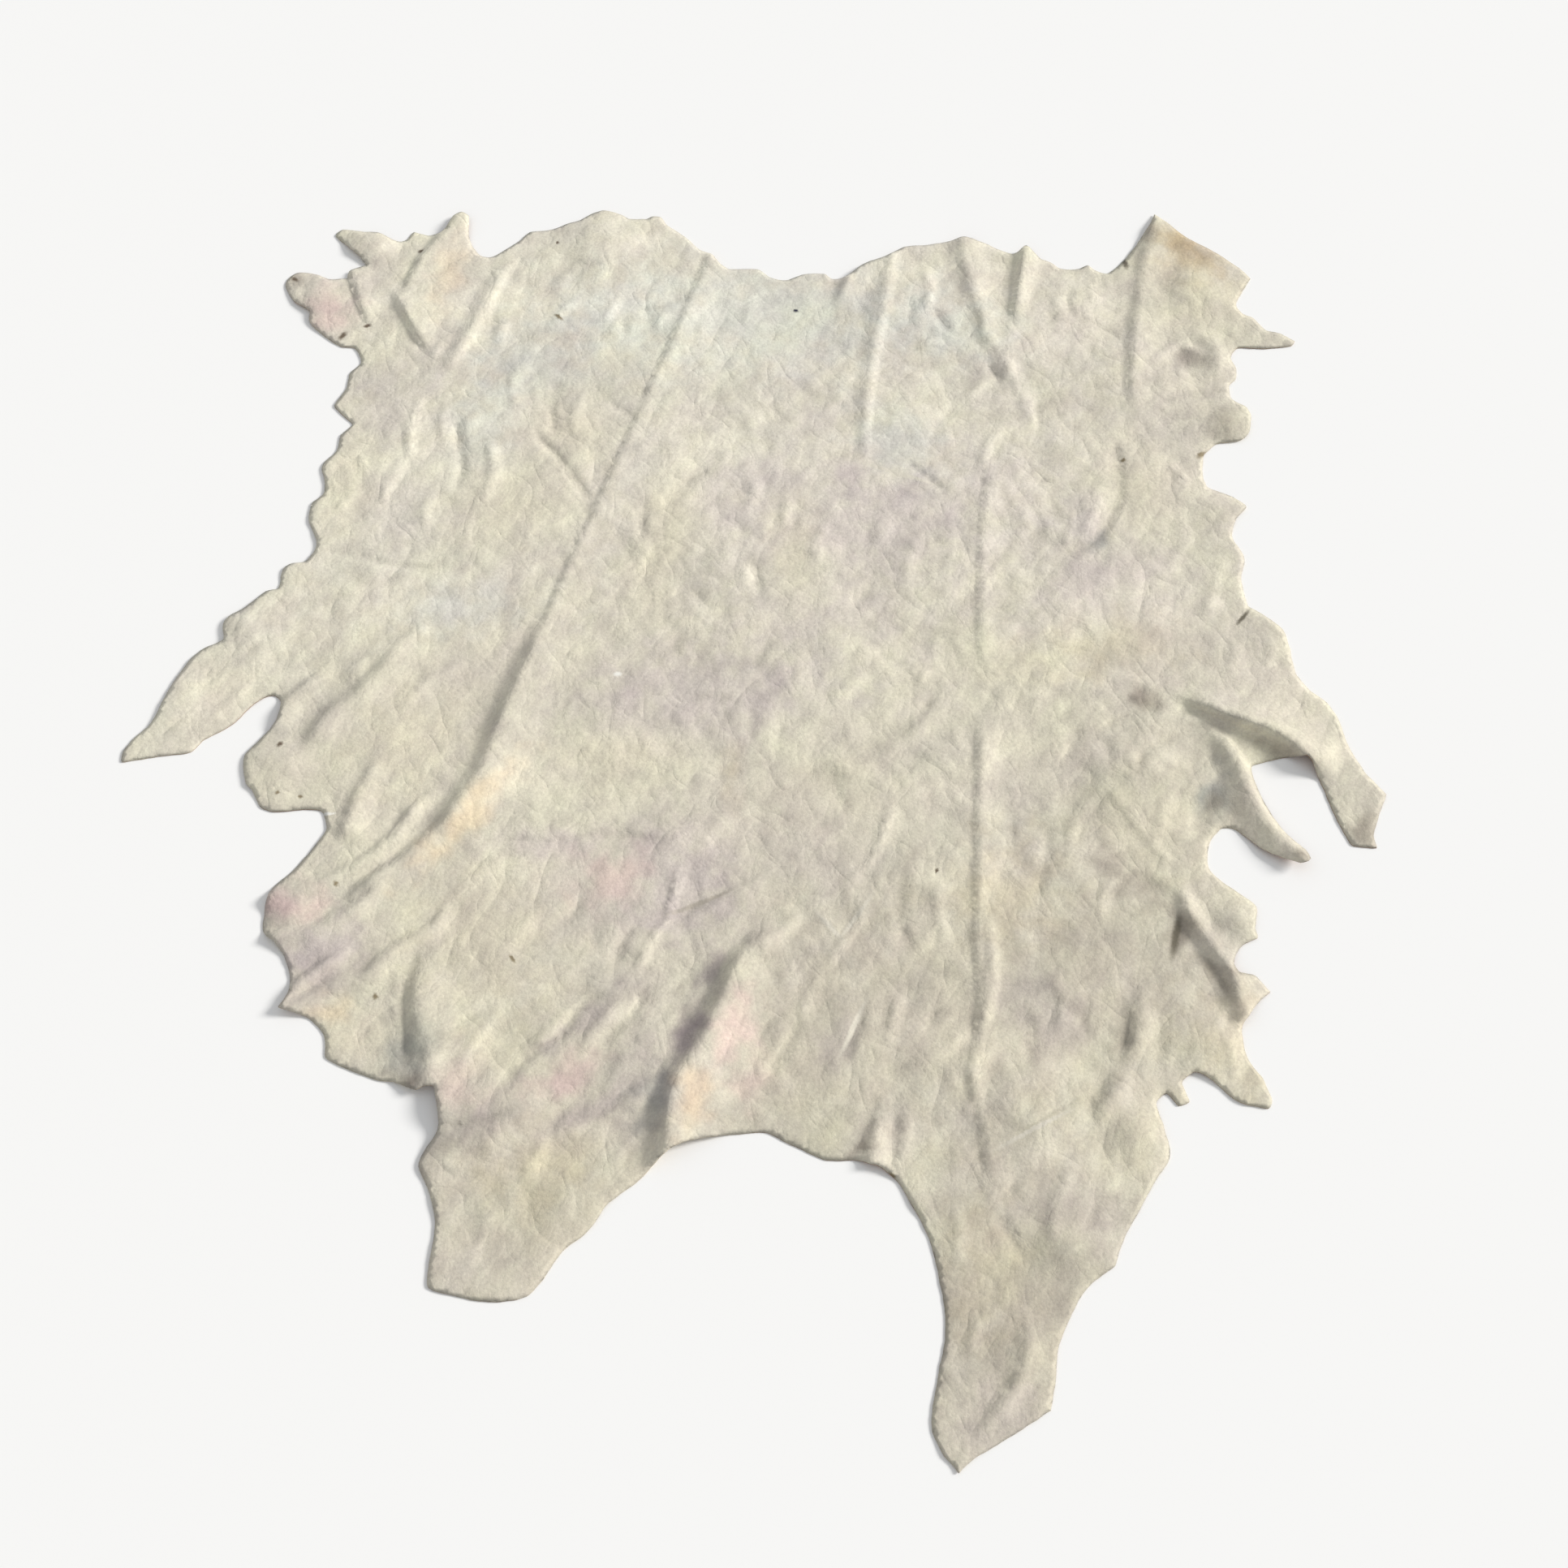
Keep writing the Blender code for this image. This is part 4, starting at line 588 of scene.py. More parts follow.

# Soft patches of tone on the leather, broad ones first. The broad ones leave it lighter at the neck and
# darker towards the rump and hind shanks, and most smaller ones are its stains. The rows in the shade tones,
# and the lilac one left of the croup fold, are painted shade beside folds, in creases and in hollows, except
# a few
# darker patches marked below. Columns: where, tone, x, y, half-size along and across the heading, heading in
# degrees, and strength.
TONE_PATCHES_AND_PAINTED_SHADE = (
    ("neck and shoulders", "cream", -5, 88, 115, 62, 0, 0.95),
    ("back", "mauve cream", 15, 45, 62, 42, 0, 0.85),
    ("left shoulder", "cream", -60, 45, 46, 36, 0, 0.95),
    ("left fore shank", "cream", -88, 10, 28, 22, 45, 0.9),
    ("right side", "mauve cream", 62, 30, 32, 24, 0, 0.8),
    ("loin", "grey", 0, 3, 52, 22, 0, 0.6),
    ("rump", "mauve grey", -15, -24, 38, 15, 10, 0.7),
    ("left loin", "olive cream", -40, -34, 22, 22, 20, 0.6),
    ("croup", "olive", 8, -52, 30, 26, 70, 0.85),
    ("right rump", "olive", 30, -45, 38, 36, 0, 0.85),
    ("right flank", "dark olive", 54, -42, 26, 32, 0, 0.7),
    ("right belly", "olive", 62, -14, 24, 22, 0, 0.8),
    ("right elbow", "grey", 76, 14, 28, 15, 0, 0.6),
    ("right cheek", "olive cream", 80, 94, 17, 17, 0, 0.7),
    ("right shoulder", "grey", 73, 60, 16, 32, 0, 0.7),
    ("right hind shank", "dark olive", 38, -92, 28, 36, 0, 0.95),
    ("left hind shank", "olive", -30, -76, 28, 22, 0, 0.9),
    ("left thigh", "olive", -30, -57, 24, 17, 35, 0.85),
    ("flank tip", "deep lilac", -65, -42, 12, 9, 35, 0.8),
    ("flank lower edge", "olive cream", -58, -52, 12, 7, -10, 0.7),
    ("stifle", "olive cream", 54, -67, 12, 12, 0, 0.8),
    ("right flank lobes", "ochre", 72, -52, 12, 18, 0, 0.4),
    ("nape", "green grey", -2, 88, 48, 19, 0, 0.55),
    ("nape, left", "pale blue", -24, 90, 14, 12, 30, 0.35),
    ("left neck", "green grey", -40, 78, 12, 17, 0, 0.45),
    ("left shoulder, inner", "green grey", -47, 62, 9, 20, 0, 0.45),
    ("right poll", "green grey", 34, 86, 16, 11, -10, 0.5),
    ("right neck", "green grey", 25, 60, 14, 10, -50, 0.55),
    ("right neck, outer", "mauve cream", 57, 82, 12, 16, 0, 0.6),
    ("left neck, outer", "mauve cream", -63, 66, 12, 13, 0, 0.6),
    ("left brisket", "pale blue", -49, 25, 14, 8, 10, 0.4),
    ("left neck, lower", "yellow", -32, 63, 11, 13, 60, 0.6),
    ("left shoulder, lower", "yellow", -43, 46, 19, 16, 0, 0.6),
    ("left edge", "yellow", -69, 50, 9, 18, 0, 0.6),
    ("left brisket, lower", "olive cream", -54, 0, 19, 15, 40, 0.75),
    ("left shank", "yellow", -86, 8, 14, 12, 50, 0.5),
    ("middle of the back", "yellow", 7, 38, 8, 17, 0, 0.65),
    ("left of the back", "yellow", -15, 40, 8, 21, -10, 0.65),
    ("left loin", "olive cream", -20, -4, 17, 9, 0, 0.6),
    ("loin, small", "ochre", -3, -6, 3, 8, 0, 0.55),
    ("side line", "yellow", 47, 15, 15, 7, 5, 0.65),
    ("right shoulder, inner", "olive cream", 66, 50, 10, 17, 0, 0.55),
    ("above the right elbow", "ochre", 60, 18, 17, 9, 0, 0.5),
    ("right flank, inner", "ochre", 39, -28, 12, 14, 0, 0.4),
    ("left loin, lower", "olive cream", -39, -36, 15, 14, 30, 0.65),
    ("right hock", "ochre", 33, -88, 9, 15, 0, 0.4),
    ("left hock", "ochre", -30, -72, 12, 10, 20, 0.5),
    ("right of the back", "lilac", 24, 42, 17, 17, 40, 0.55),
    ("loin, middle", "lilac", -8, 9, 30, 12, 5, 0.6),
    ("rump, middle", "olive", 12, -9, 20, 10, 10, 0.5),
    ("right back, small", "lilac", 16, 51, 4, 5, 0, 0.8),
    ("rump, lower", "lilac", -10, -28, 11, 16, 50, 0.75),
    ("left loin, line", "lilac", -34, -19, 17, 4, 0, 0.55),
    ("right side, middle", "mauve grey", 61, 33, 18, 11, 20, 0.45),
    ("right thigh", "deep lilac", 44, -47, 12, 9, -40, 0.6),
    ("below the stifle", "deep lilac", 49, -79, 8, 9, 50, 0.6),
    ("tail root", "deep lilac", 14, -53, 5, 7, 0, 0.6),
    ("left thigh, lower", "deep lilac", -42, -66, 9, 5, 20, 0.75),
    ("left thigh, middle", "deep lilac", -24, -50, 15, 4.4, 45, 0.6),
    ("rump", "pink", -21, -25, 9, 8, 30, 0.75),
    ("left flank lobe", "pink", -70, -30, 8, 5.4, 0, 0.9),
    ("left flank", "lilac", -64, -37, 10, 6, 30, 0.7),
    # Painted shade in the flank corner fold's hollow and at the foot of its steep side
    ("flank corner", "cold shade", -50, -54, 6, 9, 0, 0.75),
    ("flank corner, edge", "deep shade", -50, -58.6, 5, 2.4, 0, 0.8),
    ("right of the long crease", "orange", -44, -14, 19, 4, 52, 0.8),
    ("flank lobe, lower", "orange", -62, -47, 5, 3.4, 0, 0.6),
    ("left thigh, edge", "pink", -42, -58, 5, 7, 0, 0.5),
    ("left thigh, upper", "olive cream", -38, -52, 5, 7, -20, 0.8),
    ("left thigh, inner", "pink", -27, -58, 9, 4.4, 35, 0.85),
    # Painted shade in a lilac tone, in the band where the croup fold falls into shade
    ("left of the croup fold", "deep lilac", -17, -58, 13, 7, 65, 0.7),
    ("left thigh, streak", "deep lilac", -27, -51, 16, 2.6, 46, 0.7),
    ("left hock, streak", "deep lilac", -23.6, -63.4, 13, 2.8, 30, 0.8),
    # Painted shade along the left shank's edge and in the croup fold's band of shade
    ("left shank, edge", "shade", -42.6, -69, 7, 3, 40, 0.5),
    ("croup fold, shade", "plum shade", -8.6, -50, 13, 3.4, 68, 0.95),
    ("croup fold, upper shade", "plum shade", -5, -41, 5, 3.6, 60, 0.8),
    ("croup fold, lower shade", "cold shade", -13.6, -61, 8, 4.6, 62, 0.8),
    ("croup", "pink", -2, -50, 11, 4.4, 68, 0.95),
    ("croup, edge", "orange", -8, -61, 9, 4, 78, 0.9),
    ("croup, lower", "pink", 0, -59, 6, 5, 60, 0.6),
    ("left cheek", "pink", -77, 90, 7, 8, -30, 0.8),
    ("left cheek flap", "orange", -56, 99, 5, 14, -8, 0.6),
    ("corner", "tan", 79, 106, 14, 7, -42, 0.9),
    ("corner, inner", "ochre", 77, 100, 12, 6, -42, 0.5),
    # Painted shade along the corner's left edge
    ("corner, left edge", "shade", 72.4, 107, 6, 2.4, 68, 0.8),
    # A darker patch on the right cheek lobe, in the shade tone, not under any fold
    ("right cheek lobe", "shade", 83, 64, 6, 5, 0, 0.8),
    # Painted shade in the right cheek pocket
    ("right cheek pocket", "shade", 77.5, 79, 5, 3.6, -20, 0.8),
    # A darker blot beside the right elbow, in the deep shade tone
    ("right elbow, blot", "deep shade", 63.2, 7.8, 3.8, 3.8, 0, 0.8),
    # Painted shade in the elbow fold's hollow, under the elbow strip, round the flank slit, in the tail arch
    # tuck, along the hook crease and on either side of the right thigh's pillow
    ("elbow fold", "deep shade", 84.6, -2.4, 7, 3.4, -36, 0.7),
    ("under the elbow strip", "cold shade", 72.4, -11.4, 10, 4.4, 62, 0.95),
    ("under the elbow strip, core", "deep shade", 72.4, -13, 5.4, 2.2, 64, 0.6),
    ("right flank, upper", "shade", 61.8, -27, 9, 4, -40, 0.5),
    ("flank slit", "deep shade", 64.9, -34.6, 5.4, 2, 76, 0.7),
    ("beside the flank slit", "deep shade", 70.6, -42, 7, 2.6, -62, 0.6),
    ("above the flank slit", "shade", 57.6, -26, 11, 3.6, -48, 0.5),
    ("tail arch tuck", "deep shade", 16.5, -68.6, 4, 2, 35, 0.85),
    ("hook crease", "cold shade", 58.4, 39.4, 5, 1.6, 52, 0.7),
    ("right thigh, left of its pillow", "shade", 47.6, -46, 7, 1.8, -55, 0.6),
    ("right thigh, right of its pillow", "shade", 54.8, -51.6, 4.6, 1.8, 70, 0.7),
    # Darker patches at the end of the right fore shank and at the tips of the elbow strip and the left cheek
    ("right fore shank end", "deep shade", 95.4, -16.4, 4, 3.4, 60, 0.75),
    ("elbow strip tip", "deep shade", 85, -21.2, 3.4, 2.2, -20, 0.8),
    ("left cheek tip", "shade", -83.2, 97.4, 3, 2.4, -30, 0.8),
    ("right shank end", "mauve grey", 34, -107, 10, 8, 20, 0.8),
)

# How far the edge of a patch of tone or of painted shade wanders as a share of its size, by which noises,
# and how far its place is bent. Columns of the noises: factor, size in metres, seed.
PATCH_EDGE = 0.35
PATCH_RAGS = ((1.0, 0.045, 33), (0.6, 0.018, 34))
PATCH_BEND = 0.012
PATCH_BEND_SIZE = 0.05
PATCH_BEND_SEEDS = (31, 32)

# Painted light on the ridges of the small relief and painted shade in its creases: how much lighter the
# leather is painted for each millimetre of relief, and the most that counts
CREASE_SHADE = 0.022
RELIEF_LIMIT = 4.5

# The leather's mottling, from broad to fine. Columns: scale, detail, the streaks' heading and how long they
# are, and the factors of its dark and its light parts. MOTTLE_RANGE is the noise that counts as dark and
# as light.
MOTTLE_RANGE = (0.34, 0.68)
MOTTLES = (
    (4.5, 3, 40, 1.3, (0.95, 0.94, 0.965), (1.055, 1.06, 1.03)),
    (11, 4, 50, 1.5, (1.008, 0.993, 1.014), (0.992, 1.007, 0.986)),
    (15, 4, 60, 1.3, (0.93, 0.925, 0.945), (1.07, 1.075, 1.055)),
    (38, 4, 55, 1.8, (0.94, 0.935, 0.945), (1.06, 1.065, 1.055)),
    (80, 3, 60, 2.0, (0.96, 0.955, 0.96), (1.04, 1.045, 1.04)),
    (210, 3, 0, 1.0, (0.92, 0.92, 0.925), (1.07, 1.07, 1.065)),
    (560, 2, 0, 1.0, (0.95, 0.95, 0.955), (1.04, 1.04, 1.04)),
)

# The fine crumple. Columns: scale, the creases' heading, how long they are, and depth in millimetres.
CRUMPLES = (
    (11, 55, 1.6, 3.8),
    (26, 115, 1.5, 1.7),
    (55, 60, 1.5, 0.7),
)
CRUMPLE_NOISE = {"Detail": 2.5, "Roughness": 0.5, "Lacunarity": 2.1, "Offset": 0.9, "Gain": 1.2,
                 "Distortion": 0.5}
CRUMPLE_HIGH = 2.2

# The grain and the pores. Columns: scale, detail, the noise at its low and high parts, depth in
# millimetres, and strength.
GRAINS = (
    (170, 3, 0.36, 0.66, 0.35, 0.6),
    (520, 2, 0.34, 0.68, 0.12, 0.6),
)
NOISE_ROUGHNESS = 0.55

# How the surfaces throw light back
LEATHER_SURFACE = {"Roughness": 0.92, "Specular IOR Level": 0.25, "Sheen Weight": 0.12,
                   "Sheen Roughness": 0.5}
COAT_SURFACE = {"Roughness": 0.6, "Sheen Weight": 0.2}
FLOOR_SURFACE = {"Base Color": FLOOR_TONE, "Roughness": 0.9, "Specular IOR Level": 0.1}

# The coat beneath: its hairs and patches, each with scale, detail and the noise at its low and high
# parts, then the hairs' heading and how long they are, their depth in metres and its strength, and tones
HAIRS = (900, 2, 0.3, 0.7)
HAIR_LIE = (90, 9.0)
HAIR_DEPTH = 0.0004
HAIR_STRENGTH = 0.7
PATCHES = (3.2, 4, 0.46, 0.54)
COAT_CREAM = (226, 214, 190)
COAT_TAN = (168, 128, 92)
COAT_SHADE = (205, 198, 186)

# How far the marks' edges wander, in metres, the scale and detail of the noise that moves them, and how
# far from a mark's middle it ends and is full, as shares of its size
MARK_RAGGEDNESS = 0.006
MARK_NOISE = {"Scale": 190, "Detail": 2}
MARK_END = 1.3
MARK_FULL = 0.3

# Small marks, and strips of painted shade in a few narrow creases and slits. Columns: name, colour, and rows
# of x, y, half-length, half-width, heading.
PALE_LINES = (
    (12.3, -33.4, 3.4, 0.5, -51), (16.4, -32, 4.8, 0.5, 56), (15.7, -50.2, 5.2, 0.5, 66),
    (41.3, -66.4, 6.6, 0.45, 28), (25, 53, 7.4, 0.5, -20),
)
MARKS_AND_PAINTED_SHADE = (
    ("blue-black dot", (44, 42, 62), ((7.6, 90.2, 0.5, 0.42, 0),)),
    ("brown dots", (112, 99, 84), (
        (-74.8, -1.2, 0.65, 0.5, 70), (-73.5, 84.3, 1.2, 0.6, 60), (-61.1, 104.3, 0.7, 0.5, 50),
        (-69.3, 86.5, 0.8, 0.45, 10), (-36.2, 106.6, 0.35, 0.35, 0), (29, -24, 0.5, 0.3, 70),
        (-83.6, 97.8, 1, 0.5, -40),
    )),
    ("pale brown dots", (140, 128, 104), (
        (-63.2, -26.4, 0.5, 0.45, 0), (-55.5, -45, 0.5, 0.6, 20), (-70.5, -10.6, 0.5, 0.4, 0),
        (-35, 88.2, 1.2, 0.4, -40), (-35.4, -39, 0.9, 0.3, -50), (64, 56, 0.5, 0.4, 0),
        (77.6, 57.4, 1.2, 0.6, 40), (-74.2, -10, 0.4, 0.4, 0), (20.8, -73, 0.8, 0.5, 0),
    )),
    # Painted shade: the dark insides of narrow slits and creases
    ("painted shade in narrow slits", (112, 106, 92), (
        (64.9, -35, 4, 0.7, 76), (81.2, 23.4, 2.2, 0.4, 50), (67.9, 101.6, 1.6, 0.6, -80),
    )),
    # Painted shade along the crossing crease
    ("painted shade of the crossing crease", (176, 168, 156), ((-7.2, -29.4, 6, 0.5, 24),)),
    ("pale lines", (217, 211, 196), PALE_LINES),
    ("white spots", (240, 238, 230), ((-21.5, 12, 0.7, 0.5, 10), (-66, -13.7, 1.4, 0.3, 5))),
)


def curve_piece(start, end, start_slope, end_slope, t):
    """The point at share t of the way along a cubic from start to end with the given slopes."""
    return ((2 * t**3 - 3 * t**2 + 1) * start + (t**3 - 2 * t**2 + t) * start_slope
            + (3 * t**2 - 2 * t**3) * end + (t**3 - t**2) * end_slope)


def curve_through(points, turns, closed, step):
    """Points along a smooth curve through the given ones, each of which it passes through exactly."""
    points = np.array(points, float)
    count = len(points)
    before = np.roll(points, 1, axis=0)
    after = np.roll(points, -1, axis=0)
    if not closed:
        before[0] = points[0]
        after[-1] = points[-1]
    reach = np.linalg.norm(after - points, axis=1) + np.linalg.norm(points - before, axis=1)
    slopes = (after - before) / reach[:, None] * np.array(turns, float)[:, None]
    line = []
    for i in range(count if closed else count - 1):
        j = (i + 1) % count
        length = np.linalg.norm(points[j] - points[i])
        pieces = max(1, math.ceil(length / step))
        for t in np.arange(pieces) / pieces:
            line.append(curve_piece(points[i], points[j], length * slopes[i], length * slopes[j], t))
    if not closed:
        line.append(points[-1])
    return np.array(line)


def smooth_line(points, step=LINE_STEP):
    """A smooth open line through points given in centimetres."""
    return curve_through(np.array(points) * CM, [ROUND] * len(points), False, step)


def falling(share):
    """1 at share 0, falling smoothly to 0 at share 1 and beyond."""
    return 0.5 + 0.5 * np.cos(np.pi * np.clip(share, 0, 1))


def noise(places, cell, seed):
    """Smooth random values from about -1 to 1, with features of about the cell's size."""
    count = int(math.ceil(NOISE_WIDTH / cell)) + NOISE_SPARE
    angle = np.random.default_rng(seed).uniform(0, 2 * np.pi, (count, count))
    at = places / cell + count / 2
    corner = np.floor(at).astype(int)
    part = at - corner
    fade = part**3 * (6 * part**2 - 15 * part + 10)
    total = np.zeros(len(places))
    for i in (0, 1):
        for j in (0, 1):
            a = angle[(corner[:, 0] + i) % count, (corner[:, 1] + j) % count]
            value = np.cos(a) * (part[:, 0] - i) + np.sin(a) * (part[:, 1] - j)
            share_x = fade[:, 0] if i else 1 - fade[:, 0]
            share_y = fade[:, 1] if j else 1 - fade[:, 1]
            total += value * share_x * share_y
    return NOISE_GAIN * total


def bent(places, reach, size, seeds):
    """The places moved about by noise, up to about the reach."""
    return places + reach * np.column_stack([noise(places, size, seed) for seed in seeds])


def near_to(places, centre, reach):
    """1 at the centre, falling smoothly to 0 at the reach and beyond."""
    return falling(np.linalg.norm(places - np.array(centre), axis=1) / reach)


def turned(places, heading, stretch):
    """The places turned so that x runs along the heading, in degrees, and squeezed along it by stretch."""
    a = math.radians(heading)
    along = places[:, 0] * math.cos(a) + places[:, 1] * math.sin(a)
    across = places[:, 1] * math.cos(a) - places[:, 0] * math.sin(a)
    return np.column_stack([along / stretch, across])


def along_and_beside(places, line):
    """Each place's share of the way along the line, its distance from it, and how far it lies to the left.

    The last is 1 beside the line on its left, 0 on its right, and passes smoothly between them at its ends.
    """
    start = line[:-1]
    span = line[1:] - start
    length = np.linalg.norm(span, axis=1)
    passed = np.concatenate([[0], np.cumsum(length)])
    offset = places[:, None, :] - start[None]
    share = np.clip((offset * span).sum(2) / length**2, 0, 1)
    distance = np.linalg.norm(offset - share[..., None] * span, axis=2)
    nearest = distance.argmin(axis=1)
    rows = np.arange(len(places))
    turn = span[nearest, 0] * offset[rows, nearest, 1] - span[nearest, 1] * offset[rows, nearest, 0]
    way = (passed[nearest] + share[rows, nearest] * length[nearest]) / passed[-1]
    least = np.maximum(distance[rows, nearest], LEAST_APART)
    to_left = 0.5 + 0.5 * np.clip(turn / (length[nearest] * least), -1, 1)
    return way, least, to_left


def near(places, line, reach):
    """The numbers of the places within the line's box, grown by reach."""
    low = line.min(axis=0) - reach
    high = line.max(axis=0) + reach
    return np.nonzero(((places > low) & (places < high)).all(axis=1))[0]


def flank(share, crispness):
    """A fold's side from its crest at share 0 to its foot at share 1, rounder or crisper at the crest."""
    return (1 - crispness) * falling(share) + crispness * (1 - np.clip(share, 0, 1)) ** 2


def fanned(way, dies):
    """The factors of a fold's runs and of its height at each share of the way along its crest."""
    opened = {FAR_END: 1 - way, NEAR_END: way}.get(dies)
    if opened is None:
        return np.ones(len(way)), np.ones(len(way))
    return NARROW_RUN + (WIDE_RUN - NARROW_RUN) * opened, LOW_END + (1 - LOW_END) * opened


def raised_line(places, points, height, left_run, right_run, fade, dies, steep, gentle):
    """The places near a line, and how much it raises each, crisp as given on its steep and gentle sides."""
    line = smooth_line(points, RAISING_STEP)
    some = near(places, line, WIDE_RUN * max(left_run, right_run) * CM)
    if not len(some):
        return some, np.zeros(0)
    way, apart, to_left = along_and_beside(places[some], line)
    wider, higher = fanned(way, dies)
    run = wider * (right_run + (left_run - right_run) * to_left) * CM
    steepness = to_left if left_run <= right_run else 1 - to_left
    strength = higher * flank(apart / run, gentle + (steep - gentle) * steepness)
    length = np.linalg.norm(np.diff(line, axis=0), axis=1).sum()
    fade_share = min(fade * CM / length, MOST_FADE)
    for from_end, dying in zip((way, 1 - way), dies):
        if dying:
            strength *= 1 - falling(from_end / fade_share)
    return some, height * strength


def main_height(places):
    """The height of the main folds and swells over the floor, as the plain solid has them."""
    together = np.zeros(len(places))
    for _, crest, height, left_run, right_run, dies in FOLDS:
        some, raised = raised_line(places, crest, height * CM, left_run, right_run, FOLD_FADE, dies,
                                   STEEP_CRISPNESS, GENTLE_CRISPNESS)
        together[some] += raised**2
    for _, x, y, radius, height in SWELLS:
        together += (height * CM * near_to(places, (x * CM, y * CM), radius * CM)) ** 2
    return np.sqrt(together)


def wrinkle_height(places):
    """How much the small folds raise each place and the grooves lower it."""
    together = np.zeros(len(places))
    for points, height, left_run, right_run in WRINKLES:
        crispness = GROOVE_CRISPNESS if height < 0 else WRINKLE_CRISPNESS
        some, raised = raised_line(places, points, WRINKLE_STRENGTH * height * MM, left_run, right_run,
                                   WRINKLE_FADE, BOTH_ENDS, crispness, crispness)
        together[some] += raised
    return together


def unevenness(places):
    """Gentle waves of the lying leather, its soft pillows with creases between them, and its streaks."""
    moved = bent(places, BEND, BEND_SIZE, BEND_SEEDS)
    waves = np.zeros(len(places))
    for height, heading, stretch, size, seed in WAVES:
        waves += height * MM * noise(turned(places, heading, stretch), size, seed)
    pillows = np.zeros(len(places))
    for height, heading, stretch, size, seed in PILLOWS:
        pillows += height * MM * (np.abs(noise(turned(moved, heading, stretch), size, seed)) - PILLOW_MEAN)
    streaks = np.zeros(len(places))
    for height, heading, stretch, size, seed in STREAKS:
        streaks += height * MM * noise(turned(moved, heading, stretch), size, seed)
    factor = PILLOW_FACTOR + PILLOW_STRAY * noise(places, PILLOW_PATCH, PILLOW_SEED)
    factor *= 1 + PILLOW_GROWTH * near_to(places, PILLOW_CENTRE, PILLOW_REACH)
    return waves + factor * pillows + streaks * near_to(places, STREAK_CENTRE, STREAK_REACH)


def relief(places):
    """The wrinkles and the unevenness together."""
    return wrinkle_height(places) + unevenness(places)


def at_edge(places, edge_tree, reach):
    """1 at the hide's edge, falling smoothly to 0 at the reach from it and beyond."""
    apart = np.array([edge_tree.find((x, y, 0))[2] for x, y in places])
    return falling(apart / reach)


def lift(places, edge_tree):
    """How far the leather stands off the floor of itself: a little inside, hardly at its edge."""
    return LIFT - (LIFT - EDGE_LIFT) * at_edge(places, edge_tree, EDGE_REACH)


def sheet_height(places, edge_tree):
    """The height of the underside: never below the floor, and flat on it between the folds."""
    loose = main_height(places) + relief(places) + lift(places, edge_tree)
    return 0.5 * (loose + np.sqrt(loose**2 + FLOOR_SOFTNESS**2))


def lowest_height(places, edge_tree):
    """The lowest height of the underside near each place, so that a coarse face there stays beneath it."""
    lowest = sheet_height(places, edge_tree)
    for turn in np.arange(UNDER_TURNS) * 2 * math.pi / UNDER_TURNS:
        moved = places + UNDER_REACH * np.array((math.cos(turn), math.sin(turn)))
        lowest = np.minimum(lowest, sheet_height(moved, edge_tree))
    return lowest


def thickness_at(places, edge_tree):
    """The leather and its coat, which are pressed thinner along the cut edge."""
    return THICKNESS * (1 - EDGE_THINNING * at_edge(places, edge_tree, THINNING_REACH))


def edge_line():
    """The hide's edge as a closed line of points, a little ragged as a knife leaves it."""
    rows = [row for stretch in EDGE_STRETCHES for row in stretch]
    places = [(x * CM, y * CM) for x, y, _ in rows]
    turns = [turn for _, _, turn in rows]
    line = curve_through(places, turns, True, EDGE_STEP)
    along = np.roll(line, -1, axis=0) - np.roll(line, 1, axis=0)
    along /= np.linalg.norm(along, axis=1)[:, None]
    outward = np.column_stack([-along[:, 1], along[:, 0]])
    ragged = sum(height * MM * noise(line, size, seed) for height, size, seed in EDGE_RAGS)
    return line + outward * ragged[:, None]


def field_points(edge, step, gap):
    """Rows of points inside the edge, staggered, that keep a gap to it along each row."""
    ends = np.roll(edge, -1, axis=0)
    row_step = step * math.sqrt(3) / 2
    points = []
    for i, y in enumerate(np.arange(edge[:, 1].min(), edge[:, 1].max(), row_step)):
        crosses = (edge[:, 1] > y) != (ends[:, 1] > y)
        a, b = edge[crosses], ends[crosses]
        walls = np.sort(a[:, 0] + (y - a[:, 1]) / (b[:, 1] - a[:, 1]) * (b[:, 0] - a[:, 0]))
        xs = np.arange(-HALF_FIELD, HALF_FIELD, step) + (i % 2) * step / 2
        for left, right in zip(walls[::2], walls[1::2]):
            points += [(x, y) for x in xs[(xs > left + gap) & (xs < right - gap)]]
    return points


def tree_of(points):
    """A search tree of places on the floor."""
    tree = KDTree(len(points))
    for i, (x, y) in enumerate(points):
        tree.insert((x, y, 0), i)
    tree.balance()
    return tree


def clear_of(points, fixed, gap):
    """The points that are further than the gap from every fixed one."""
    tree = tree_of(fixed)
    return [p for p in points if tree.find((p[0], p[1], 0))[2] > gap]


def inside(points, edge):
    """The points that lie inside the edge."""
    ends = np.roll(edge, -1, axis=0)
    kept = []
    for x, y in points:
        crosses = (edge[:, 1] > y) != (ends[:, 1] > y)
        a, b = edge[crosses], ends[crosses]
        walls = a[:, 0] + (y - a[:, 1]) / (b[:, 1] - a[:, 1]) * (b[:, 0] - a[:, 0])
        if (walls > x).sum() % 2:
            kept.append((x, y))
    return kept


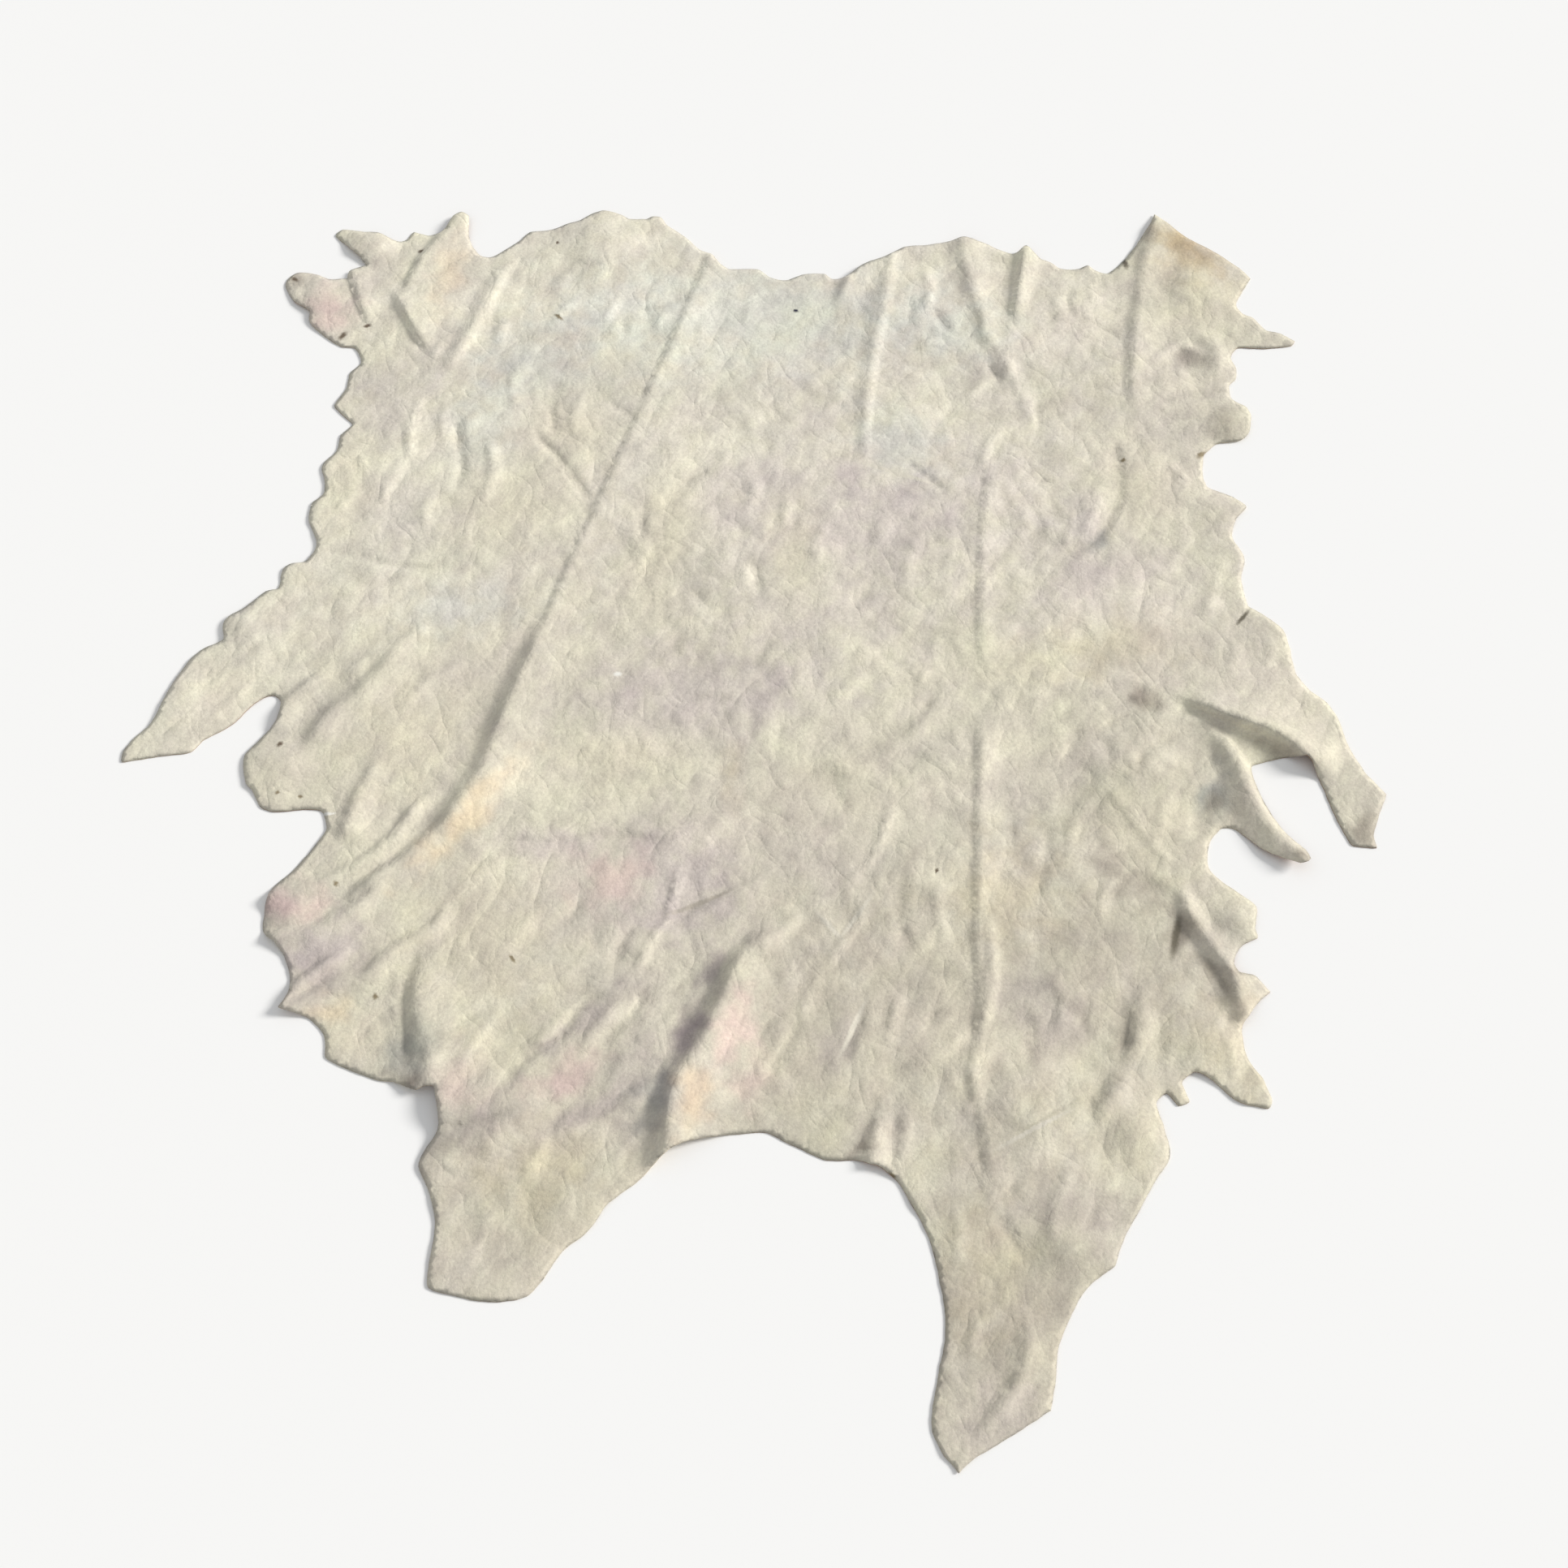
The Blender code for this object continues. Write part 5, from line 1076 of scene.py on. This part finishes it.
def triangulated(edge, inner):
    """Flat places and triangles, anticlockwise, of the area inside the edge. The edge's points come first."""
    places = [tuple(p) for p in edge] + [tuple(p) for p in inner]
    rim = [(i, (i + 1) % len(edge)) for i in range(len(edge))]
    flat, _, faces, sources, _, _ = delaunay_2d_cdt(places, rim, [], ONLY_INSIDE, MERGE_GAP)
    flat = np.array([tuple(p) for p in flat])
    faces = np.array([face[:3] for face in faces])
    if len(flat) != len(places) or any(source[0] != i for i, source in enumerate(sources)):
        raise ValueError("the triangulation merged or moved points of the sheet")
    a, b, c = (flat[faces[:, i]] for i in range(3))
    area = (b[:, 0] - a[:, 0]) * (c[:, 1] - a[:, 1]) - (b[:, 1] - a[:, 1]) * (c[:, 0] - a[:, 0])
    faces[area < 0] = faces[area < 0][:, ::-1]
    return flat, faces


def leaned(places, height):
    """The places on the floor as points at their height, moved towards the viewer as they were read."""
    return np.column_stack([places[:, 0], places[:, 1] - FOLD_LEAN * height, height])


def normals_of(points, faces):
    """The mean direction of the faces around each point."""
    a, b, c = (points[faces[:, i]] for i in range(3))
    face_normals = np.cross(b - a, c - a)
    normals = np.zeros_like(points)
    for i in range(3):
        np.add.at(normals, faces[:, i], face_normals)
    return normals / np.linalg.norm(normals, axis=1)[:, None]


def rim_rings(edge, normals, under, over):
    """Two rings between the underside's edge and the leather's, bulging a little as a cut edge does."""
    along = np.roll(under, -1, axis=0) - np.roll(under, 1, axis=0)
    outward = np.cross(normals, along)
    outward /= -np.linalg.norm(outward, axis=1)[:, None]
    lower = under + LOWER_RING * (over - under) + outward * RIM_BULGE
    upper = under + UPPER_RING * (over - under) + outward * RIM_BULGE
    return lower, upper


def hide_mesh():
    """The whole sheet as one closed mesh, with its places on the floor for every point."""
    edge = edge_line()
    lines = [smooth_line(row[1]) for row in FOLDS] + [smooth_line(row[0]) for row in WRINKLES]
    fixed = [tuple(p) for p in edge]
    crest_points = []
    for line in lines:
        fresh = clear_of(inside([tuple(p) for p in line], edge), fixed, TOP_GAP)
        crest_points += fresh
        fixed += fresh
    top_inner = crest_points + clear_of(field_points(edge, TOP_STEP, TOP_GAP), fixed, TOP_GAP)
    under_inner = clear_of(field_points(edge, UNDER_STEP, UNDER_GAP), [tuple(p) for p in edge], UNDER_GAP)
    top_flat, top_faces = triangulated(edge, top_inner)
    under_flat, under_faces = triangulated(edge, under_inner)
    edge_tree = tree_of(edge)
    base = leaned(top_flat, sheet_height(top_flat, edge_tree))
    normals = normals_of(base, top_faces)
    over = base + normals * thickness_at(top_flat, edge_tree)[:, None]
    count = len(edge)
    under_height = lowest_height(under_flat, edge_tree)
    under_height[:count] = sheet_height(edge, edge_tree)
    under = leaned(under_flat, under_height)
    lower, upper = rim_rings(edge, normals[:count], under[:count], over[:count])
    points = np.vstack([over, under, lower, upper])
    flat = np.vstack([top_flat, under_flat, edge, edge])
    first_under = len(over)
    first_lower = first_under + len(under)
    first_upper = first_lower + count
    rings = (0, first_upper, first_lower, first_under)
    here = np.arange(count)
    there = (here + 1) % count
    bands = [np.column_stack([high + here, high + there, low + there, low + here])
             for high, low in zip(rings, rings[1:])]
    leather = [tuple(f) for f in top_faces] + [tuple(f) for band in bands[:2] for f in band]
    coat = [tuple(f) for f in bands[2]] + [tuple(f) for f in under_faces[:, ::-1] + first_under]
    mesh = bpy.data.meshes.new("hide leather")
    mesh.from_pydata([tuple(p) for p in points], [], leather + coat)
    slots = np.zeros(len(mesh.polygons), np.int32)
    slots[len(leather):] = COAT_SLOT
    mesh.polygons.foreach_set("material_index", slots)
    mesh.shade_smooth()
    return mesh, flat


def linear(red, green, blue):
    """A colour as it is seen, from 0 to 255, as the light that a surface throws back, by the usual curve."""
    shares = (np.array((red, green, blue)) / 255 + 0.055) / 1.055
    return tuple(shares**2.4) + (1.0,)


def paint_tint(mesh, flat):
    """The leather's soft stains and tone patches, painted shade by its folds and hollows, and painted light
    and shade on its small relief, as a colour for each point.
    """
    tint = np.tile(np.array(linear(*TONES["base"])), (len(flat), 1))
    moved = bent(flat, PATCH_BEND, PATCH_BEND_SIZE, PATCH_BEND_SEEDS)
    ragged = sum(factor * noise(flat, size, seed) for factor, size, seed in PATCH_RAGS)
    for _, tone, x, y, along, across, heading, strength in TONE_PATCHES_AND_PAINTED_SHADE:
        local = turned(moved - np.array((x, y)) * CM, heading, 1.0)
        distance = np.hypot(local[:, 0] / (along * CM), local[:, 1] / (across * CM))
        share = (strength * falling(distance + PATCH_EDGE * ragged))[:, None]
        tint = tint * (1 - share) + np.array(linear(*TONES[tone])) * share
    # Painted light on the small relief's ridges and painted shade in its creases
    painted_relief_shade = 1 + CREASE_SHADE * np.clip(relief(flat) / MM, -RELIEF_LIMIT, RELIEF_LIMIT)
    tint[:, :3] *= painted_relief_shade[:, None]
    attribute = mesh.attributes.new("tint", "FLOAT_COLOR", "POINT")
    attribute.data.foreach_set("color", tint.astype(np.float32).ravel())


def set_inputs(node, inputs):
    """Gives a shader node's inputs their fixed values."""
    for name, value in inputs.items():
        node.inputs[name].default_value = value


def add_node(tree, kind, settings=None, inputs=None):
    """A shader node with its settings and the fixed values of its inputs."""
    made = tree.nodes.new(kind)
    for name, value in (settings or {}).items():
        setattr(made, name, value)
    set_inputs(made, inputs or {})
    return made


def mixed(tree, kind, factor, first, second):
    """Two colours mixed. Each of the three is a socket or a value."""
    mix = add_node(tree, "ShaderNodeMix", {"data_type": "RGBA", "blend_type": kind})
    for number, value in zip(MIX_INPUTS, (factor, first, second)):
        if isinstance(value, bpy.types.NodeSocket):
            tree.links.new(value, mix.inputs[number])
        else:
            mix.inputs[number].default_value = value
    return mix.outputs[MIX_OUTPUT]


def streaked(tree, where, heading, stretch):
    """The places turned so that a pattern of them is drawn out along the heading by stretch."""
    mapping = add_node(tree, "ShaderNodeMapping", {"vector_type": "TEXTURE"},
                       {"Rotation": (0, 0, math.radians(heading)), "Scale": (stretch, 1, 1)})
    tree.links.new(where, mapping.inputs["Vector"])
    return mapping.outputs["Vector"]


def noise_share(tree, where, scale, detail, low, high, heading=0.0, stretch=1.0):
    """A noise between 0 and 1, whose values from low to high are spread over the whole range."""
    mapping = streaked(tree, where, heading, stretch)
    texture = add_node(tree, "ShaderNodeTexNoise",
                       inputs={"Scale": scale, "Detail": detail, "Roughness": NOISE_ROUGHNESS})
    spread = add_node(tree, "ShaderNodeMapRange", inputs={"From Min": low, "From Max": high})
    tree.links.new(mapping, texture.inputs["Vector"])
    tree.links.new(texture.outputs["Fac"], spread.inputs["Value"])
    return spread.outputs["Result"]


def ridged_share(tree, where, scale, heading, stretch):
    """A crumpled pattern between 0 and 1: soft pillows with pinched creases between them."""
    mapping = streaked(tree, where, heading, stretch)
    texture = add_node(tree, "ShaderNodeTexNoise", {"noise_type": "RIDGED_MULTIFRACTAL"},
                       {"Scale": scale, **CRUMPLE_NOISE})
    spread = add_node(tree, "ShaderNodeMapRange",
                      inputs={"From Min": 0.0, "From Max": CRUMPLE_HIGH, "To Min": 1.0, "To Max": 0.0})
    tree.links.new(mapping, texture.inputs["Vector"])
    tree.links.new(texture.outputs["Fac"], spread.inputs["Value"])
    return spread.outputs["Result"]


def spot_mask(tree, where, rows):
    """Where the listed oval marks and strips of painted shade are, as one share from 0 to 1, ragged as stains
    and scars are.
    """
    texture = add_node(tree, "ShaderNodeTexNoise", inputs=MARK_NOISE)
    shifted = add_node(tree, "ShaderNodeVectorMath", {"operation": "MULTIPLY_ADD"})
    shifted.inputs[1].default_value = (MARK_RAGGEDNESS, MARK_RAGGEDNESS, 0)
    tree.links.new(where, texture.inputs["Vector"])
    tree.links.new(texture.outputs["Color"], shifted.inputs[0])
    tree.links.new(where, shifted.inputs[2])
    total = None
    for x, y, along, across, heading in rows:
        mapping = add_node(tree, "ShaderNodeMapping", {"vector_type": "TEXTURE"}, {
            "Location": (x * CM, y * CM, 0), "Rotation": (0, 0, math.radians(heading)),
            "Scale": (along * CM, across * CM, 1.0)})
        flat = add_node(tree, "ShaderNodeVectorMath", {"operation": "MULTIPLY"})
        flat.inputs[1].default_value = (1, 1, 0)
        length = add_node(tree, "ShaderNodeVectorMath", {"operation": "LENGTH"})
        share = add_node(tree, "ShaderNodeMapRange", {"interpolation_type": "SMOOTHSTEP"},
                         {"From Min": MARK_END, "From Max": MARK_FULL})
        tree.links.new(shifted.outputs["Vector"], mapping.inputs["Vector"])
        tree.links.new(mapping.outputs["Vector"], flat.inputs[0])
        tree.links.new(flat.outputs["Vector"], length.inputs[0])
        tree.links.new(length.outputs["Value"], share.inputs["Value"])
        if total is None:
            total = share.outputs["Result"]
        else:
            most = add_node(tree, "ShaderNodeMath", {"operation": "MAXIMUM"})
            tree.links.new(total, most.inputs[0])
            tree.links.new(share.outputs["Result"], most.inputs[1])
            total = most.outputs["Value"]
    return total


def bump(tree, height, distance, strength, below=None):
    """A bump of the given height in metres, over an earlier one."""
    made = add_node(tree, "ShaderNodeBump", inputs={"Distance": distance, "Strength": strength})
    tree.links.new(height, made.inputs["Height"])
    if below is not None:
        tree.links.new(below, made.inputs["Normal"])
    return made.outputs["Normal"]


def new_material(name):
    material = bpy.data.materials.new(name)
    material.use_nodes = True
    return material, material.node_tree, material.node_tree.nodes["Principled BSDF"]


def leather_material():
    """Suede leather: cream with olive and mauve mottling, fine pores, soft grain, a few marks and painted
    shade in a few narrow creases and slits.
    """
    material, tree, shader = new_material("suede leather")
    where = add_node(tree, "ShaderNodeTexCoord").outputs["Object"]
    # The tint holds the tone patches, stains and painted shade, and the painted light and shade of the small
    # relief
    colour = add_node(tree, "ShaderNodeAttribute", {"attribute_name": "tint"}).outputs["Color"]
    for scale, detail, heading, stretch, dark, light in MOTTLES:
        share = noise_share(tree, where, scale, detail, *MOTTLE_RANGE, heading, stretch)
        tone = mixed(tree, "MIX", share, dark + (1.0,), light + (1.0,))
        colour = mixed(tree, "MULTIPLY", 1.0, colour, tone)
    # The marks, and the painted shade of a few narrow creases and slits
    for _, tone, rows in MARKS_AND_PAINTED_SHADE:
        colour = mixed(tree, "MIX", spot_mask(tree, where, rows), colour, linear(*tone))
    tree.links.new(colour, shader.inputs["Base Color"])
    soft = None
    for scale, heading, stretch, depth in CRUMPLES:
        soft = bump(tree, ridged_share(tree, where, scale, heading, stretch), depth * MM, 1.0, soft)
    for scale, detail, low_part, high_part, depth, strength in GRAINS:
        grain = noise_share(tree, where, scale, detail, low_part, high_part)
        soft = bump(tree, grain, depth * MM, strength, soft)
    tree.links.new(soft, shader.inputs["Normal"])
    set_inputs(shader, LEATHER_SURFACE)
    return material


def coat_material():
    """The short cream and tan coat beneath, lying from the neck towards the hind shanks."""
    material, tree, shader = new_material("short coat")
    where = add_node(tree, "ShaderNodeTexCoord").outputs["Object"]
    hairs = noise_share(tree, where, *HAIRS, *HAIR_LIE)
    patches = noise_share(tree, where, *PATCHES)
    colour = mixed(tree, "MIX", patches, linear(*COAT_CREAM), linear(*COAT_TAN))
    colour = mixed(tree, "MULTIPLY", hairs, colour, linear(*COAT_SHADE))
    tree.links.new(colour, shader.inputs["Base Color"])
    tree.links.new(bump(tree, hairs, HAIR_DEPTH, HAIR_STRENGTH), shader.inputs["Normal"])
    set_inputs(shader, COAT_SURFACE)
    return material


def floor_material():
    material, _, shader = new_material("pale floor")
    set_inputs(shader, FLOOR_SURFACE)
    return material


def place_camera():
    camera = bpy.data.cameras.new("camera")
    camera.lens = CAMERA_LENS
    camera.sensor_width = CAMERA_SENSOR
    holder = bpy.data.objects.new("camera", camera)
    holder.location = CAMERA_PLACE
    holder.rotation_euler = (math.pi / 2 - SIGHT_ANGLE, 0, 0)
    bpy.context.scene.collection.objects.link(holder)
    bpy.context.scene.camera = holder


def place_lights():
    """Soft light from all round, and a broad key light from the right that draws the folds."""
    world = bpy.data.worlds.new("studio")
    world.use_nodes = True
    background = world.node_tree.nodes["Background"]
    background.inputs["Color"].default_value = WORLD_TONE
    background.inputs["Strength"].default_value = WORLD_STRENGTH
    bpy.context.scene.world = world
    key = bpy.data.lights.new("key", "SUN")
    key.energy = KEY_STRENGTH
    key.angle = math.radians(KEY_SPREAD)
    key.color = KEY_TONE
    holder = bpy.data.objects.new("key", key)
    around, up = math.radians(KEY_HEADING), math.radians(KEY_ELEVATION)
    towards = Vector((math.cos(around) * math.cos(up), math.sin(around) * math.cos(up), math.sin(up)))
    holder.rotation_euler = towards.to_track_quat("Z", "Y").to_euler()
    bpy.context.scene.collection.objects.link(holder)


def place_floor():
    bpy.ops.mesh.primitive_plane_add(size=FLOOR_SIZE, location=(0, 0, -FLOOR_GAP))
    floor = bpy.context.object
    floor.name = "floor"
    floor.data.materials.append(floor_material())


def build_hide():
    mesh, flat = hide_mesh()
    paint_tint(mesh, flat)
    mesh.materials.append(leather_material())
    mesh.materials.append(coat_material())
    hide = bpy.data.objects.new("leather_hide", mesh)
    bpy.context.scene.collection.objects.link(hide)
    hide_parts("hide")
    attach(hide, "root")


place_camera()
place_lights()
place_floor()
build_hide()
bpy.context.scene.view_settings.view_transform = "Standard"
